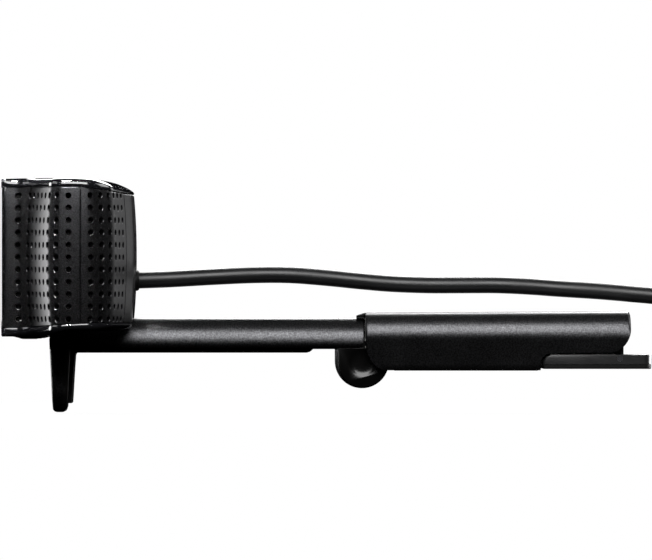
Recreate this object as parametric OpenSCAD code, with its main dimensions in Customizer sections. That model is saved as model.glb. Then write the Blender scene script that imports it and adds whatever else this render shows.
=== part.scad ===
// Bar webcam on a folding monitor clip, with a tied USB lead.
// X runs along the bar, the lens looks along -Y and Z is up. A depth is a distance behind the
// front window along Y, and set_back() moves depths into the frame. Millimetres throughout.

/* [Head] */
// Overall width of the bar
head_width = 95; // [90:0.5:100]
// Depth of the bar from the front window to the back cover
head_depth = 29.5; // [29:0.1:31]
// Half width of the straight block in the middle of the bar
block_half = 30.4; // [28:0.1:32]
// Angle that the wings are swept back by
sweep = 17.8; // [14:0.1:20]
// Wall thickness of the moulded shells
wall = 1.8; // [1.4:0.1:2]
// Height of the lens axis above the resting surface
lens_height = 34.2; // [34:0.1:34.6]

/* [Clip] */
// Width of the arm
arm_width = 28; // [26:0.5:28]
// Width of the rear leg
leg_width = 34; // [33.8:0.1:36]
// Depth of the clip hinge behind the front window
hinge_depth = 78.2; // [78:0.1:78.4]
// Height of the clip hinge above the resting surface
hinge_height = 11.1; // [11:0.1:11.3]
// Radius of the hinge lobe
lobe_r = 5.9; // [5.6:0.1:5.9]

/* [Foot] */
// Depth of the foot pivot behind the front window
pivot_depth = 134.2; // [134:0.1:134.4]
// Height of the foot pivot above the resting surface
pivot_height = 11.65; // [11.6:0.05:11.7]

/* [Tilt] */
// Depth of the tilt axle behind the front window
tilt_depth = 19; // [18.8:0.1:19.2]
// Height of the tilt axle above the resting surface
tilt_height = 23.6; // [23.5:0.1:23.7]

/* [Lead] */
// Diameter of the USB lead
lead_d = 3.6; // [3:0.1:4]
// Mean radius of the tied coil
coil_mean_r = 20; // [18:0.5:22]

/* [Hidden] */
$fn = 48;
frame_y = 70.5;
far = 60;
run_gap = 0.05;

// Head outline, in plan
head_half = head_width / 2;
front_r = 1.5;
fillet_r = 3;
tip_r = 4.3;
tip_y = 13.3;
tip_x = head_half - tip_r;
heel_r = 8.2;
heel_y = 17.2;
heel_x = head_half - heel_r;
back_half = 28.5;
back_drop = 0.3;
wing_y = tip_y - tip_r * cos(sweep);
wing_x = tip_x + tip_r * sin(sweep);
fillet_y = wing_y + (block_half + fillet_r - wing_x) * tan(sweep) - fillet_r / cos(sweep);

// Head seams and levels
bezel_d = 0.5;
shell_seam = 17;
back_seam = 27;
skin_low_front = 18.2;
skin_low_mid = 19.3;
skin_low_back = 19.6;
skin_high_front = 48.8;
skin_high_back = 47.9;
top_high = 50.7;
bottom_low = 17.8;
belly_low = 15.9;
belly_depth = 5.7;
belly_crown_r = 261;
window_half = 26;
window_low = 21;
window_high = 46;
lens_hole_r = 7.5;
lens_clear_r = 5.6;
light_x = 15;
light_r = 1;
rim_depth = 1.2;

// Notch over the arm, and the tilt joint in it
notch_half = 15.5;
notch_front = 7.5;
notch_top = 24.5;
tub_wall = 1.7;
tub_top = notch_top + 1.1;
pad_top = notch_top + 2.1;
slot_half = 13.8;
slot_front = 13.5;
slot_back = 24.5;
bracket_half = 17;
bracket_front = 12;
bracket_back = 26;
bracket_t = 1.5;
cheek_in = 9;
cheek_out = 11.5;
tilt_boss_r = 2.8;
tilt_pin_r = 1.2;
post_half = 8.4;
grommet_r = 3;
cord_height = 28.6;

// Boards
board_depth = 18;
board_t = 1.2;
sensor_depth = 14;
board_half = 40;
board_low = 29;
board_high = 46;
post_x = 24;
post_heights = [31.5, 43.5];
screw_places = [[30, 23], [36, 12.5]];
screw_r = 1;
barrel_r = 4.4;
glass_r = 3.2;

// Arm and lip
arm_half = arm_width / 2;
arm_low = 13.7;
arm_high = 20.4;
arm_mid = (arm_low + arm_high) / 2;
arm_edge_r = (arm_high - arm_low) / 2;
arm_front = 10.4;
arm_back = 78.5;
plate_half = 9;
plate_front = 16.5;
plate_back = 71;
plate_mid = arm_low + 1.5;
plate_high = arm_low + 3;
lip_split = 13.2;
liner_half = 11.5;
liner_low = 12.9;

// Hinge
lug_in = 7.4;
lug_out = 12.7;
cap_out = 13.5;
cap_r = 5.3;
cap_shift = 0.6;
dish_r = 3.3;
hinge_pin_r = 1.5;
barrel_out_r = 4.4;
barrel_half = 6.8;

// Leg
leg_half = leg_width / 2;
leg_front = 78.95;
leg_low = 8.9;
leg_inner = 14.3;
leg_roof = 19.9;
leg_end = 135.1;
deck_low = 18.6;
cover_front = 85;
cover_back = 116.6;
cover_low = 9;
cover_high = 10.4;
foot_lug_in = 9;
foot_lug_out = 12;
foot_pin_r = 0.6;
foot_half = 16;
pad_low = 9.45;
pad_high = 10.45;
foot_high = 12.5;

// Lead: coil three turns wide and four tall, its tie, and the plug
coil_x = 19;
coil_y = 105;
coil_wide = 3 * lead_d;
coil_low = 0.6;
coil_tall = 4 * lead_d;
tie_t = 0.6;
tie_angle = 18;
plug_x = 41;
plug_y = 128.6;
plug_long = 26;
plug_wide = 15.6;
plug_tall = 8;
shell_long = 12;
shell_wide = 12;
shell_tall = 4.5;
shell_t = 0.35;
cord_route = [
  [0, -42, 28.6], [0, -34, 28.9], [0, -25, 29.4], [0, -16, 29.8], [0, -8, 29.8], [0, 0, 29.2],
  [0, 7, 28.5], [0, 14, 27.9], [0, 22, 27.6], [0, 29, 27.6], [0, 37, 27.6], [0, 44, 27.3],
  [0, 51, 26.8], [0, 59, 26.3], [0, 66, 25.7], [0, 73, 25], [-0.2, 79, 23.6],
  [-0.8, 84.6, 20.8], [-1.6, 89.6, 17.4], [-2.6, 94.4, 14.4], [-3.8, 98.9, 13.2]
];
tail_route = [
  [19, 128.6, 2.4], [26, 128.6, 2.6], [32, 128.6, 3.4], [37, 128.6, 4], [plug_x, plug_y, 4]
];

// Points on an arc, and a half outline closed by its mirror image
function arc(cx, cy, r, from, to, n) =
  [for (i = [0:n]) let (a = from + (to - from) * i / n) [cx + r * cos(a), cy + r * sin(a)]];
function both_halves(half) =
  concat(half, [for (i = [len(half) - 1:-1:0]) [-half[i][0], half[i][1]]]);

// Head outline in plan, moved inwards by an inset
function plan(inset) =
  let (r = max(front_r - inset, 0.1))
  both_halves(concat(
    arc(block_half - inset - r, inset + r, r, -90, 0, 4),
    arc(block_half + fillet_r, fillet_y, fillet_r + inset, 180, 90 + sweep, 6),
    arc(tip_x, tip_y, tip_r - inset, sweep - 90, 0, 8),
    arc(heel_x, heel_y, heel_r - inset, 0, 90 - sweep, 8),
    [[back_half, head_depth - back_drop - inset], [1, head_depth - inset]]
  ));

// Unit vector, and the rings and faces of a round tube along a route
function unit(v) = v / norm(v);
function heading(p, i) = unit(p[min(i + 1, len(p) - 1)] - p[max(i - 1, 0)]);
function ring(p, i, r, sides) =
  let (t = heading(p, i), side = unit(cross(t, [0, 0, 1])), up = cross(side, t))
  [for (k = [0:sides - 1]) p[i] + r * (cos(360 * k / sides) * side + sin(360 * k / sides) * up)];
function tube_points(p, r, sides) = [for (i = [0:len(p) - 1]) each ring(p, i, r, sides)];
function tube_faces(count, sides) = concat(
  [[for (k = [0:sides - 1]) k]],
  [for (i = [0:count - 2]) for (k = [0:sides - 1]) let (n = (k + 1) % sides)
    [i * sides + k, (i + 1) * sides + k, (i + 1) * sides + n, i * sides + n]],
  [[for (k = [sides - 1:-1:0]) (count - 1) * sides + k]]
);

module tube(route) {
  sides = 8;
  polyhedron(tube_points(route, lead_d / 2, sides), tube_faces(len(route), sides));
}

// Placing helpers: depths to frame, a side outline drawn across X, pins and boxes
module set_back() {
  translate([0, -frame_y, 0]) children();
}
module both_sides() {
  children();
  mirror([1, 0, 0]) children();
}
module across(x0, x1) {
  translate([x0, 0, 0]) rotate([90, 0, 90]) linear_extrude(x1 - x0) children();
}
module pin_x(x0, x1, depth, height, r) {
  translate([x0, depth, height]) rotate([0, 90, 0]) cylinder(r = r, h = x1 - x0);
}
module pin_y(x, d0, d1, height, r) {
  translate([x, d0, height]) rotate([-90, 0, 0]) cylinder(r = r, h = d1 - d0);
}
module box(x0, x1, d0, d1, z0, z1) {
  translate([x0, d0, z0]) cube([x1 - x0, d1 - d0, z1 - z0]);
}
module screw(length, head_r, head_h) {
  cylinder(r = screw_r, h = length);
  cylinder(r = head_r, h = head_h);
}

// Head shells
module head_slab(inset, z0, z1) {
  translate([0, 0, z0]) linear_extrude(z1 - z0) polygon(plan(inset));
}
module head_wall() {
  difference() {
    head_slab(0, skin_low_front - 1, top_high);
    head_slab(wall, 0, far);
  }
}
module skin_zone(d0, d1) {
  intersection() {
    box(-far, far, d0, d1, 0, far);
    across(-far, far) polygon([
      [-1, skin_low_front], [shell_seam, skin_low_mid], [far, skin_low_back],
      [far, skin_high_back], [head_depth, skin_high_back], [shell_seam, skin_high_front],
      [-1, skin_high_front]
    ]);
  }
}
module arm_notch() {
  box(-notch_half, notch_half, notch_front, far, 0, notch_top);
}
module window_opening(d0, d1) {
  box(-window_half, window_half, d0, d1, window_low, window_high);
}

module front_panel() {
  color("#0c0c0e") set_back() difference() {
    union() {
      intersection() {
        head_slab(0, 0, far);
        skin_zone(0, bezel_d);
      }
      window_opening(0.1, wall);
    }
    pin_y(0, -1, wall + 1, lens_height, lens_hole_r);
    pin_y(light_x, -1, wall + 1, lens_height, light_r);
  }
}
module lens_window() {
  color("#20242a") set_back() pin_y(0, 0.6, 1.4, lens_height, lens_clear_r);
}
module lens_ring() {
  color("#8a8c90") set_back() difference() {
    pin_y(0, 0, wall, lens_height, lens_hole_r);
    pin_y(0, -1, wall + 1, lens_height, lens_clear_r);
  }
}
module front_housing() {
  color("#3a3a3d") set_back() difference() {
    intersection() {
      head_wall();
      skin_zone(bezel_d, shell_seam);
    }
    window_opening(0, wall + 1);
  }
}
module rear_housing() {
  color("#3a3a3d") set_back() intersection() {
    head_wall();
    skin_zone(shell_seam, back_seam);
  }
}
module back_cover() {
  color("#3a3a3d") set_back() difference() {
    intersection() {
      head_wall();
      skin_zone(back_seam, far);
    }
    arm_notch();
    pin_y(0, shell_seam, far, cord_height, grommet_r);
  }
}
module cover_posts() {
  for (place = screw_places)
    translate([place[0], place[1], skin_low_mid + 2]) cylinder(r = 2.4, h = 28);
}
module top_cover() {
  color("#101012") set_back() difference() {
    union() {
      intersection() {
        head_slab(0, 0, far);
        across(-far, far) polygon([
          [0, skin_high_front], [shell_seam, skin_high_front], [head_depth, skin_high_back],
          [28.6, 48.3], [27.5, 48.9], [25, 49.6], [21, 50.4], [15, top_high], [7, top_high],
          [0, top_high - 0.1]
        ]);
      }
      difference() {
        head_slab(wall, skin_high_back - 1.2, skin_high_front);
        head_slab(wall + rim_depth, 0, far);
        box(-far, far, shell_seam, far, skin_high_front - 1, far);
      }
      difference() {
        head_slab(wall, skin_high_back - 1.2, skin_high_back);
        head_slab(wall + rim_depth, 0, far);
      }
      both_sides() cover_posts();
    }
    both_sides() for (place = screw_places)
      translate([place[0], place[1], 0]) cylinder(r = screw_r, h = 32);
  }
}
module belly() {
  intersection() {
    head_slab(0, 0, far);
    across(-far, far) polygon([
      [0.6, bottom_low - 0.6], [2.6, belly_low + 0.35], [belly_depth, belly_low],
      [8.6, belly_low + 0.4], [12, bottom_low], [12, bottom_low + 0.5], [0.6, bottom_low + 0.5]
    ]);
    translate([0, -1, belly_low + belly_crown_r]) rotate([-90, 0, 0])
      cylinder(r = belly_crown_r, h = far, $fn = 96);
  }
}
module notch_tub() {
  difference() {
    union() {
      box(-notch_half - tub_wall, notch_half + tub_wall, notch_front - tub_wall,
        back_seam + 0.5, bottom_low + 0.4, tub_top);
      box(-bracket_half, bracket_half, bracket_front, bracket_back - 0.5, notch_top, pad_top);
    }
    box(-slot_half, slot_half, slot_front, slot_back, 0, far);
  }
}
module bottom_cover() {
  color("#101012") set_back() difference() {
    union() {
      intersection() {
        head_slab(0, 0, far);
        across(-far, far) polygon([
          [0, 16.6], [3, 16.6], [10, 17.4], [shell_seam, bottom_low], [far, bottom_low],
          [far, skin_low_back], [shell_seam, skin_low_mid], [0, skin_low_front - 0.065]
        ]);
      }
      belly();
      notch_tub();
    }
    arm_notch();
    both_sides() for (place = screw_places) translate([place[0], place[1], 0]) {
      cylinder(r = screw_r, h = far);
      cylinder(r = 2, h = bottom_low + 0.5);
    }
  }
}
module acoustic_cloth() {
  color("#050505") set_back() difference() {
    intersection() {
      head_slab(wall, 20.2, 46.4);
      skin_zone(5.5, back_seam);
    }
    head_slab(wall + 0.4, 0, far);
    box(-31, 31, -1, far, 0, far);
  }
}

// Head insides
module lens_holder() {
  color("#18181a") set_back() difference() {
    box(-5.7, 5.7, 5.5, sensor_depth, lens_height - 5.7, lens_height + 5.7);
    pin_y(0, 0, far, lens_height, barrel_r + run_gap);
  }
}
module sensor_board() {
  color("#1d5a38") set_back()
    box(-8, 8, sensor_depth, sensor_depth + board_t, lens_height - 5.9, lens_height + 6.4);
}
module image_sensor() {
  color("#30343c") set_back()
    box(-3, 3, sensor_depth - 0.8, sensor_depth, lens_height - 2.2, lens_height + 2.2);
}
module board_connector() {
  color("#e0dccf") set_back() box(-4, 4, sensor_depth + board_t, board_depth, 30, 33);
}
module main_board() {
  color("#1d5a38") set_back() difference() {
    box(-board_half, board_half, board_depth, board_depth + board_t, board_low, board_high);
    both_sides() for (height = post_heights)
      pin_y(post_x, board_depth - 1, board_depth + 2, height, screw_r);
  }
}
module microphones() {
  color("#b8b8bc") set_back() both_sides() box(34, 37.8, board_depth - 1.1, board_depth, 33, 36);
}
module status_light() {
  color("#e8e8d8") set_back() translate([light_x, 0, lens_height])
    box(-0.8, 0.8, board_depth - 1, board_depth, -0.5, 0.5);
}
module light_pipe() {
  color("#d8dce4") set_back() pin_y(light_x, 0, board_depth - 1, lens_height, light_r);
}
module cable_header() {
  color("#e0dccf") set_back() box(-5, 5, board_depth + board_t, 23, 36, 41);
}
module board_posts() {
  color("#c0a050") set_back() both_sides() for (height = post_heights) difference() {
    pin_y(post_x, board_depth + board_t, head_depth - back_drop - wall, height, 2);
    pin_y(post_x, 0, 24, height, screw_r);
  }
}
module board_screws() {
  color("#b0b0b4") set_back() both_sides() for (height = post_heights) {
    pin_y(post_x, board_depth - 1, 24, height, screw_r);
    pin_y(post_x, board_depth - 1, board_depth, height, 1.8);
  }
}
module housing_screws() {
  color("#606064") set_back() both_sides() for (place = screw_places)
    translate([place[0], place[1], bottom_low - 0.2]) screw(12, 1.9, 0.7);
}

// Tilt joint
module tilt_cheek(x0, x1, foot_height) {
  across(x0, x1) union() {
    translate([tilt_depth, tilt_height]) circle(r = tilt_boss_r);
    translate([tilt_depth - tilt_boss_r, min(tilt_height, foot_height)])
      square([2 * tilt_boss_r, abs(foot_height - tilt_height)]);
  }
}
module bracket_screw_places() {
  both_sides() for (depth = [13, 25]) translate([15.4, depth, pad_top - 1.6]) children();
}
module tilt_bracket() {
  color("#8c8e92") set_back() difference() {
    union() {
      box(-bracket_half, bracket_half, bracket_front, bracket_back, pad_top, pad_top + bracket_t);
      both_sides() tilt_cheek(cheek_in, cheek_out, pad_top + 0.5);
    }
    pin_x(-far, far, tilt_depth, tilt_height, tilt_pin_r);
    bracket_screw_places() cylinder(r = 0.7, h = 6);
  }
}
module bracket_screws() {
  color("#b0b0b4") set_back() bracket_screw_places() {
    translate([0, 0, 1.6]) cylinder(r = 0.7, h = bracket_t);
    translate([0, 0, 1.6 + bracket_t]) cylinder(r = 1.3, h = 0.7);
  }
}
module tilt_axle() {
  color("#b0b0b4") set_back() union() {
    pin_x(-cheek_out, cheek_out + 1.6, tilt_depth, tilt_height, tilt_pin_r);
    pin_x(-cheek_out - 1.6, -cheek_out, tilt_depth, tilt_height, 2.2);
  }
}
module tilt_nut() {
  color("#b0b0b4") set_back() difference() {
    translate([cheek_out, tilt_depth, tilt_height]) rotate([0, 90, 0])
      cylinder(r = 2.4, h = 1.6, $fn = 6);
    pin_x(0, far, tilt_depth, tilt_height, tilt_pin_r);
  }
}
module tilt_washers() {
  color("#d0d0d4") set_back() both_sides() difference() {
    pin_x(post_half + run_gap, cheek_in - run_gap, tilt_depth, tilt_height, 2.6);
    pin_x(0, far, tilt_depth, tilt_height, tilt_pin_r);
  }
}
module cord_grommet() {
  color("#0e0e10") set_back() difference() {
    pin_y(0, 26.2, head_depth + 0.4, cord_height, grommet_r);
    pin_y(0, 0, far, cord_height, lead_d / 2 + 0.1);
  }
}

// Lens unit
module lens_barrel() {
  color("#141416") set_back() difference() {
    pin_y(0, 3.6, 12.6, lens_height, barrel_r);
    pin_y(0, 3, 14, lens_height, glass_r);
  }
}
module front_lens() {
  color("#2a3550") set_back() pin_y(0, 3.9, 5.2, lens_height, glass_r);
}
module rear_lens() {
  color("#2a3550") set_back() pin_y(0, 10.6, 12, lens_height, glass_r);
}

// Arm and lip
module tilt_post() {
  color("#2c2c2f") set_back() difference() {
    union() {
      tilt_cheek(-post_half, post_half, arm_high - 0.5);
      box(-post_half, post_half, 14, 24, arm_high - 1, arm_high);
    }
    pin_x(-far, far, tilt_depth, tilt_height, tilt_pin_r + run_gap);
  }
}
module arm_bar() {
  intersection() {
    union() {
      box(-arm_half + arm_edge_r, arm_half - arm_edge_r, 0, far * 2, arm_low, arm_high);
      both_sides() pin_y(arm_half - arm_edge_r, 0, far * 2, arm_mid, arm_edge_r);
    }
    across(-far, far) polygon(concat(
      [[arm_front, arm_low - 1]],
      arc(arm_front + 3, arm_high - 3, 3, 180, 90, 6),
      arc(arm_back - 0.8, arm_high - 0.8, 0.8, 90, 15, 3),
      [[arm_back, arm_mid]],
      arc(arm_back - 2, arm_low + 2, 2, 0, -90, 6),
      [[arm_back - 2, arm_low - 1]]
    ));
  }
}
module lip_outline(top) {
  corner = 5;
  polygon(both_halves(concat(
    arc(arm_half - corner, corner, corner, -90, 0, 8),
    [[arm_half, top]]
  )));
}
module lip_zone(top) {
  translate([0, far, 0]) rotate([90, 0, 0]) linear_extrude(far * 2) lip_outline(top);
}
module arm_shell() {
  color("#3a3a3d") set_back() difference() {
    union() {
      arm_bar();
      intersection() {
        across(-arm_half, arm_half) polygon([
          [10.3, 16], [10.6, 10], [10.9, 3.4], [11.1, 0.6], [11.4, 0.2], [12, 0],
          [lip_split, 0], [lip_split, arm_low + 0.5], [12.6, 16]
        ]);
        lip_zone(16);
      }
    }
    box(-plate_half, plate_half, plate_front, plate_back, 0, plate_high);
    box(-post_half, post_half, 14, 24, arm_high - 1, far);
    pin_x(-lug_in, lug_in, hinge_depth, hinge_height, barrel_out_r + 0.4);
    for (place = [22, 66]) translate([0, place, plate_high]) cylinder(r = screw_r, h = 2);
  }
}
module arm_stiffener() {
  color("#9a9ca0") set_back() difference() {
    box(-plate_half, plate_half, plate_front, plate_back, plate_mid, plate_high);
    for (place = [22, 66]) translate([0, place, 0]) cylinder(r = screw_r, h = far);
  }
}
module arm_base_plate() {
  color("#18181a") set_back() difference() {
    box(-plate_half, plate_half, plate_front, plate_back, arm_low, plate_mid);
    for (place = [22, 66]) translate([0, place, 0]) {
      cylinder(r = screw_r, h = far);
      cylinder(r = 2, h = arm_low + 0.8);
    }
  }
}
module arm_screws() {
  color("#b0b0b4") set_back() for (place = [22, 66])
    translate([0, place, arm_low + 0.1]) screw(plate_high + 1.9 - arm_low, 2, 0.7);
}
module lip_backing() {
  color("#1c1c1e") set_back() intersection() {
    across(-arm_half, arm_half) polygon([
      [lip_split, 0], [13.8, 0.25], [14.2, 1.2], [14.9, arm_low], [lip_split, arm_low]
    ]);
    lip_zone(arm_low);
  }
}
module grip_liner() {
  color("#0a0a0a") set_back() across(-liner_half, liner_half) polygon([
    [14.9, arm_low], [14.2, 1.2], [14.8, 1.1], [15.25, 1.7], [15.95, 12.3],
    [16.5, liner_low], [66.2, liner_low], [67.6, arm_low]
  ]);
}

// Clip hinge
module lobe(r, shift, left) {
  difference() {
    union() {
      translate([hinge_depth + shift, hinge_height]) circle(r = r);
      translate([left, hinge_height]) square([hinge_depth + shift - left, arm_low - hinge_height]);
    }
    translate([0, arm_low]) square([arm_back + 0.3, far]);
  }
}
module hinge_lugs() {
  color("#3a3a3d") set_back() both_sides() difference() {
    across(lug_in, lug_out) lobe(lobe_r, 0, hinge_depth - lobe_r);
    pin_x(0, far, hinge_depth, hinge_height, hinge_pin_r);
  }
}
module hinge_pin() {
  color("#b0b0b4") set_back() pin_x(-lug_out, lug_out, hinge_depth, hinge_height, hinge_pin_r);
}
module hinge_washers() {
  color("#d0d0d4") set_back() both_sides() difference() {
    pin_x(barrel_half + run_gap, lug_in - run_gap, hinge_depth, hinge_height, 3.4);
    pin_x(0, far, hinge_depth, hinge_height, hinge_pin_r);
  }
}
module hinge_caps() {
  color("#08080a") set_back() both_sides() difference() {
    across(lug_out, cap_out) lobe(cap_r, cap_shift, hinge_depth + cap_shift - cap_r);
    pin_x(cap_out - 0.35, far, hinge_depth, hinge_height, dish_r);
  }
}

// Lead and plug
module coil_section(grow) {
  translate([coil_mean_r - coil_wide / 2 - grow, coil_low - grow])
    square([coil_wide + 2 * grow, coil_tall + 2 * grow]);
}
module at_coil() {
  translate([coil_x, coil_y, 0]) children();
}
module cord() {
  color("#101012") tube(cord_route);
}
module cord_tail() {
  color("#101012") tube(tail_route);
}
module cord_coil() {
  color("#101012") at_coil() rotate_extrude($fn = 72) coil_section(0);
}
module cord_tie() {
  color("#202022") at_coil() rotate([0, 0, -tie_angle / 2])
    rotate_extrude(angle = tie_angle, $fn = 72) difference() {
      coil_section(tie_t);
      coil_section(0);
    }
}
module at_plug() {
  translate([plug_x, plug_y, plug_tall / 2]) children();
}
module plug_body() {
  color("#101012") at_plug() translate([0, -plug_wide / 2, -plug_tall / 2])
    cube([plug_long, plug_wide, plug_tall]);
}
module shell_block(inset) {
  translate([0, inset - shell_wide / 2, inset - shell_tall / 2])
    cube([shell_long + inset, shell_wide - 2 * inset, shell_tall - 2 * inset]);
}
module plug_shell() {
  color("#c0c0c4") at_plug() translate([plug_long, 0, 0]) difference() {
    shell_block(0);
    shell_block(shell_t);
  }
}
module plug_tongue() {
  color("#e8e8ea") at_plug()
    translate([plug_long, shell_t - shell_wide / 2, shell_t - shell_tall / 2])
    cube([shell_long - 0.8, shell_wide - 2 * shell_t, 1.6]);
}

// Leg
module leg_side() {
  polygon(concat(
    [for (i = [0:8]) let (a = 180 + 90 * i / 8) [leg_front + 4.7 + 4.7 * cos(a), 15.7 + 6.8 * sin(a)]],
    [[117, leg_low]],
    arc(119.2, 10.6, 2.2, 180, 90, 5),
    [[132, 13], [133.8, 13.4], [134.9, 14.1], [135.8, 15.4], [136.4, 17], [136.6, 18.2]],
    [[136.5, 20.6], [136.2, 21.5], [135.6, 21.9], [leg_front, 21.6]]
  ));
}
module leg_section() {
  polygon(both_halves(concat(
    [[leg_half - 1.8, leg_low - 0.2], [leg_half - 1.2, leg_low + 0.6], [leg_half, 17.2]],
    [for (i = [0:8]) let (a = 90 * i / 8) [leg_half - 6 + 6 * cos(a), 18 + 4 * sin(a)]]
  )));
}
module leg_shell() {
  color("#3a3a3d") set_back() union() {
    difference() {
      intersection() {
        across(-leg_half, leg_half) leg_side();
        translate([0, far * 3, 0]) rotate([90, 0, 0]) linear_extrude(far * 3) leg_section();
      }
      box(-leg_inner, leg_inner, 0, leg_end, 0, leg_roof);
    }
    across(-12, 12) polygon([
      [77, 20.6], [77, 20.9], [78.6, 21.5], [leg_front + 0.5, 21.6], [leg_front + 0.5, 20.6]
    ]);
  }
}
module leg_screw_places() {
  both_sides() for (depth = [91, 112]) translate([8, depth, 0]) children();
}
module foot_lug() {
  across(foot_lug_in, foot_lug_out) union() {
    translate([pivot_depth, pivot_height]) circle(r = 1.15);
    translate([pivot_depth - 0.4, pivot_height]) square([1.2, deck_low - pivot_height + 0.5]);
    polygon([[129, deck_low + 0.5], [pivot_depth, 14.8], [pivot_depth, deck_low + 0.5]]);
  }
}
module leg_frame() {
  color("#161618") set_back() difference() {
    union() {
      box(-leg_inner, leg_inner, 86, 134, deck_low, leg_roof);
      across(-barrel_half, barrel_half) union() {
        translate([hinge_depth, hinge_height]) circle(r = barrel_out_r);
        polygon([[79.5, 9.2], [84.3, 9.2], [90, leg_roof], [79.5, leg_roof]]);
      }
      both_sides() foot_lug();
      both_sides() box(11, 12.2, 88, 116, cover_high, deck_low + 0.5);
      leg_screw_places() translate([0, 0, cover_high]) cylinder(r = 2.2, h = 9);
    }
    pin_x(-far, far, hinge_depth, hinge_height, hinge_pin_r + run_gap);
    pin_x(-far, far, pivot_depth, pivot_height, foot_pin_r + run_gap);
    leg_screw_places() cylinder(r = screw_r, h = 15);
  }
}
module leg_cover() {
  color("#1a1a1c") set_back() difference() {
    box(-leg_inner, leg_inner, cover_front, cover_back, cover_low, cover_high);
    leg_screw_places() {
      cylinder(r = screw_r, h = far);
      cylinder(r = 2, h = cover_low + 0.7);
    }
  }
}
module leg_screws() {
  color("#606064") set_back() leg_screw_places() translate([0, 0, cover_low + 0.1])
    screw(15 - cover_low - 0.1, 2, 0.6);
}

// Foot
module foot_plate() {
  color("#161618") set_back() difference() {
    across(-foot_half, foot_half) polygon(concat(
      [[117.4, pad_high]],
      arc(119.3, foot_high - 1.9, 1.9, 180, 90, 5),
      arc(139.5, foot_high - 1.5, 1.5, 90, 0, 5),
      [[141, pad_high]]
    ));
    both_sides() box(foot_lug_in - 0.1, foot_lug_out + 0.1, 131.4, 137.6, 0, far);
    pin_x(-far, far, pivot_depth, pivot_height, foot_pin_r);
  }
}
module foot_pad() {
  color("#0a0a0a") set_back() across(-foot_half, foot_half) polygon(concat(
    [[117.6, pad_high], [117.6, pad_low + 0.3], [117.9, pad_low]],
    arc(140.1, pad_low + 0.9, 0.9, -90, 0, 4),
    [[141, pad_high]]
  ));
}
module foot_pin() {
  color("#8c8e92") set_back() pin_x(-foot_half, foot_half, pivot_depth, pivot_height, foot_pin_r);
}

front_panel();
lens_window();
lens_ring();
front_housing();
rear_housing();
back_cover();
top_cover();
bottom_cover();
acoustic_cloth();
lens_holder();
sensor_board();
image_sensor();
board_connector();
main_board();
microphones();
status_light();
light_pipe();
cable_header();
board_posts();
board_screws();
housing_screws();
tilt_bracket();
bracket_screws();
tilt_axle();
tilt_nut();
tilt_washers();
cord_grommet();
lens_barrel();
front_lens();
rear_lens();
tilt_post();
arm_shell();
arm_stiffener();
arm_base_plate();
arm_screws();
lip_backing();
grip_liner();
hinge_lugs();
hinge_pin();
hinge_washers();
hinge_caps();
cord();
cord_coil();
cord_tie();
cord_tail();
plug_body();
plug_shell();
plug_tongue();
leg_shell();
leg_frame();
leg_cover();
leg_screws();
foot_plate();
foot_pad();
foot_pin();
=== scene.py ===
"""A bar webcam on a folding monitor clip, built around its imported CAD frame.

Shapes are written in millimetres as (x, u, z): x runs along the bar, u is the depth behind
the front window and z is the height. place() turns them into the frame's metres.
"""

import math

import bmesh
import bpy
import numpy as np
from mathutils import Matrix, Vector


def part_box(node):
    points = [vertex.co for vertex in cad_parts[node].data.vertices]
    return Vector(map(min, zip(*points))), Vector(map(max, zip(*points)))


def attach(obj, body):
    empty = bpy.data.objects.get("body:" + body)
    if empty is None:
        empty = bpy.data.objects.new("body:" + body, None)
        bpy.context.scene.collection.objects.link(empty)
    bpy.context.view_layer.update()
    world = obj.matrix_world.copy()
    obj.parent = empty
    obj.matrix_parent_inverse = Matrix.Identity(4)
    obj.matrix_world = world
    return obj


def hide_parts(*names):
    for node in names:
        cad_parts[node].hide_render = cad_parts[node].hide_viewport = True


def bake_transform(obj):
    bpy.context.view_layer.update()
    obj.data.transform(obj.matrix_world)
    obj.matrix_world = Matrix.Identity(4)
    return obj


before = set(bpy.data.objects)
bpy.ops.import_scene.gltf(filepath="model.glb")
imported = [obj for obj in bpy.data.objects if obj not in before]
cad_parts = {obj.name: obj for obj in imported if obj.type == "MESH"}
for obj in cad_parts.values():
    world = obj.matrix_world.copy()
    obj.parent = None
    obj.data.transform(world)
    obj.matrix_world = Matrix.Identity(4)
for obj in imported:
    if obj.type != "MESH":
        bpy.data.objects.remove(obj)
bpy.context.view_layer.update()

MM = 0.001
FRONT_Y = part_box("front_panel")[0].y
LEAD_D = 3.6
UP = Vector((0, 0, 1))


def place(x, u, z):
    return Vector((x * MM, FRONT_Y + u * MM, z * MM))


def depth_of(y_mm):
    """Depth behind the front window of a place given along the frame's Y."""
    return y_mm - FRONT_Y / MM


# ---------------------------------------------------------------- camera

VIEW_WIDTH = 0.14132
CAMERA_AWAY = 5.0
FOCUS_X = 0.02


def make_camera():
    data = bpy.data.cameras.new("camera")
    data.lens = data.sensor_width * (CAMERA_AWAY - FOCUS_X) / VIEW_WIDTH
    data.clip_start = 1.0
    data.clip_end = 100.0
    camera = bpy.data.objects.new("camera", data)
    camera.location = (CAMERA_AWAY, -0.0001, 0.0287)
    camera.rotation_euler = (math.radians(90), 0, math.radians(90))
    bpy.context.scene.collection.objects.link(camera)
    bpy.context.scene.camera = camera


# ---------------------------------------------------------------- materials


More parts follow.
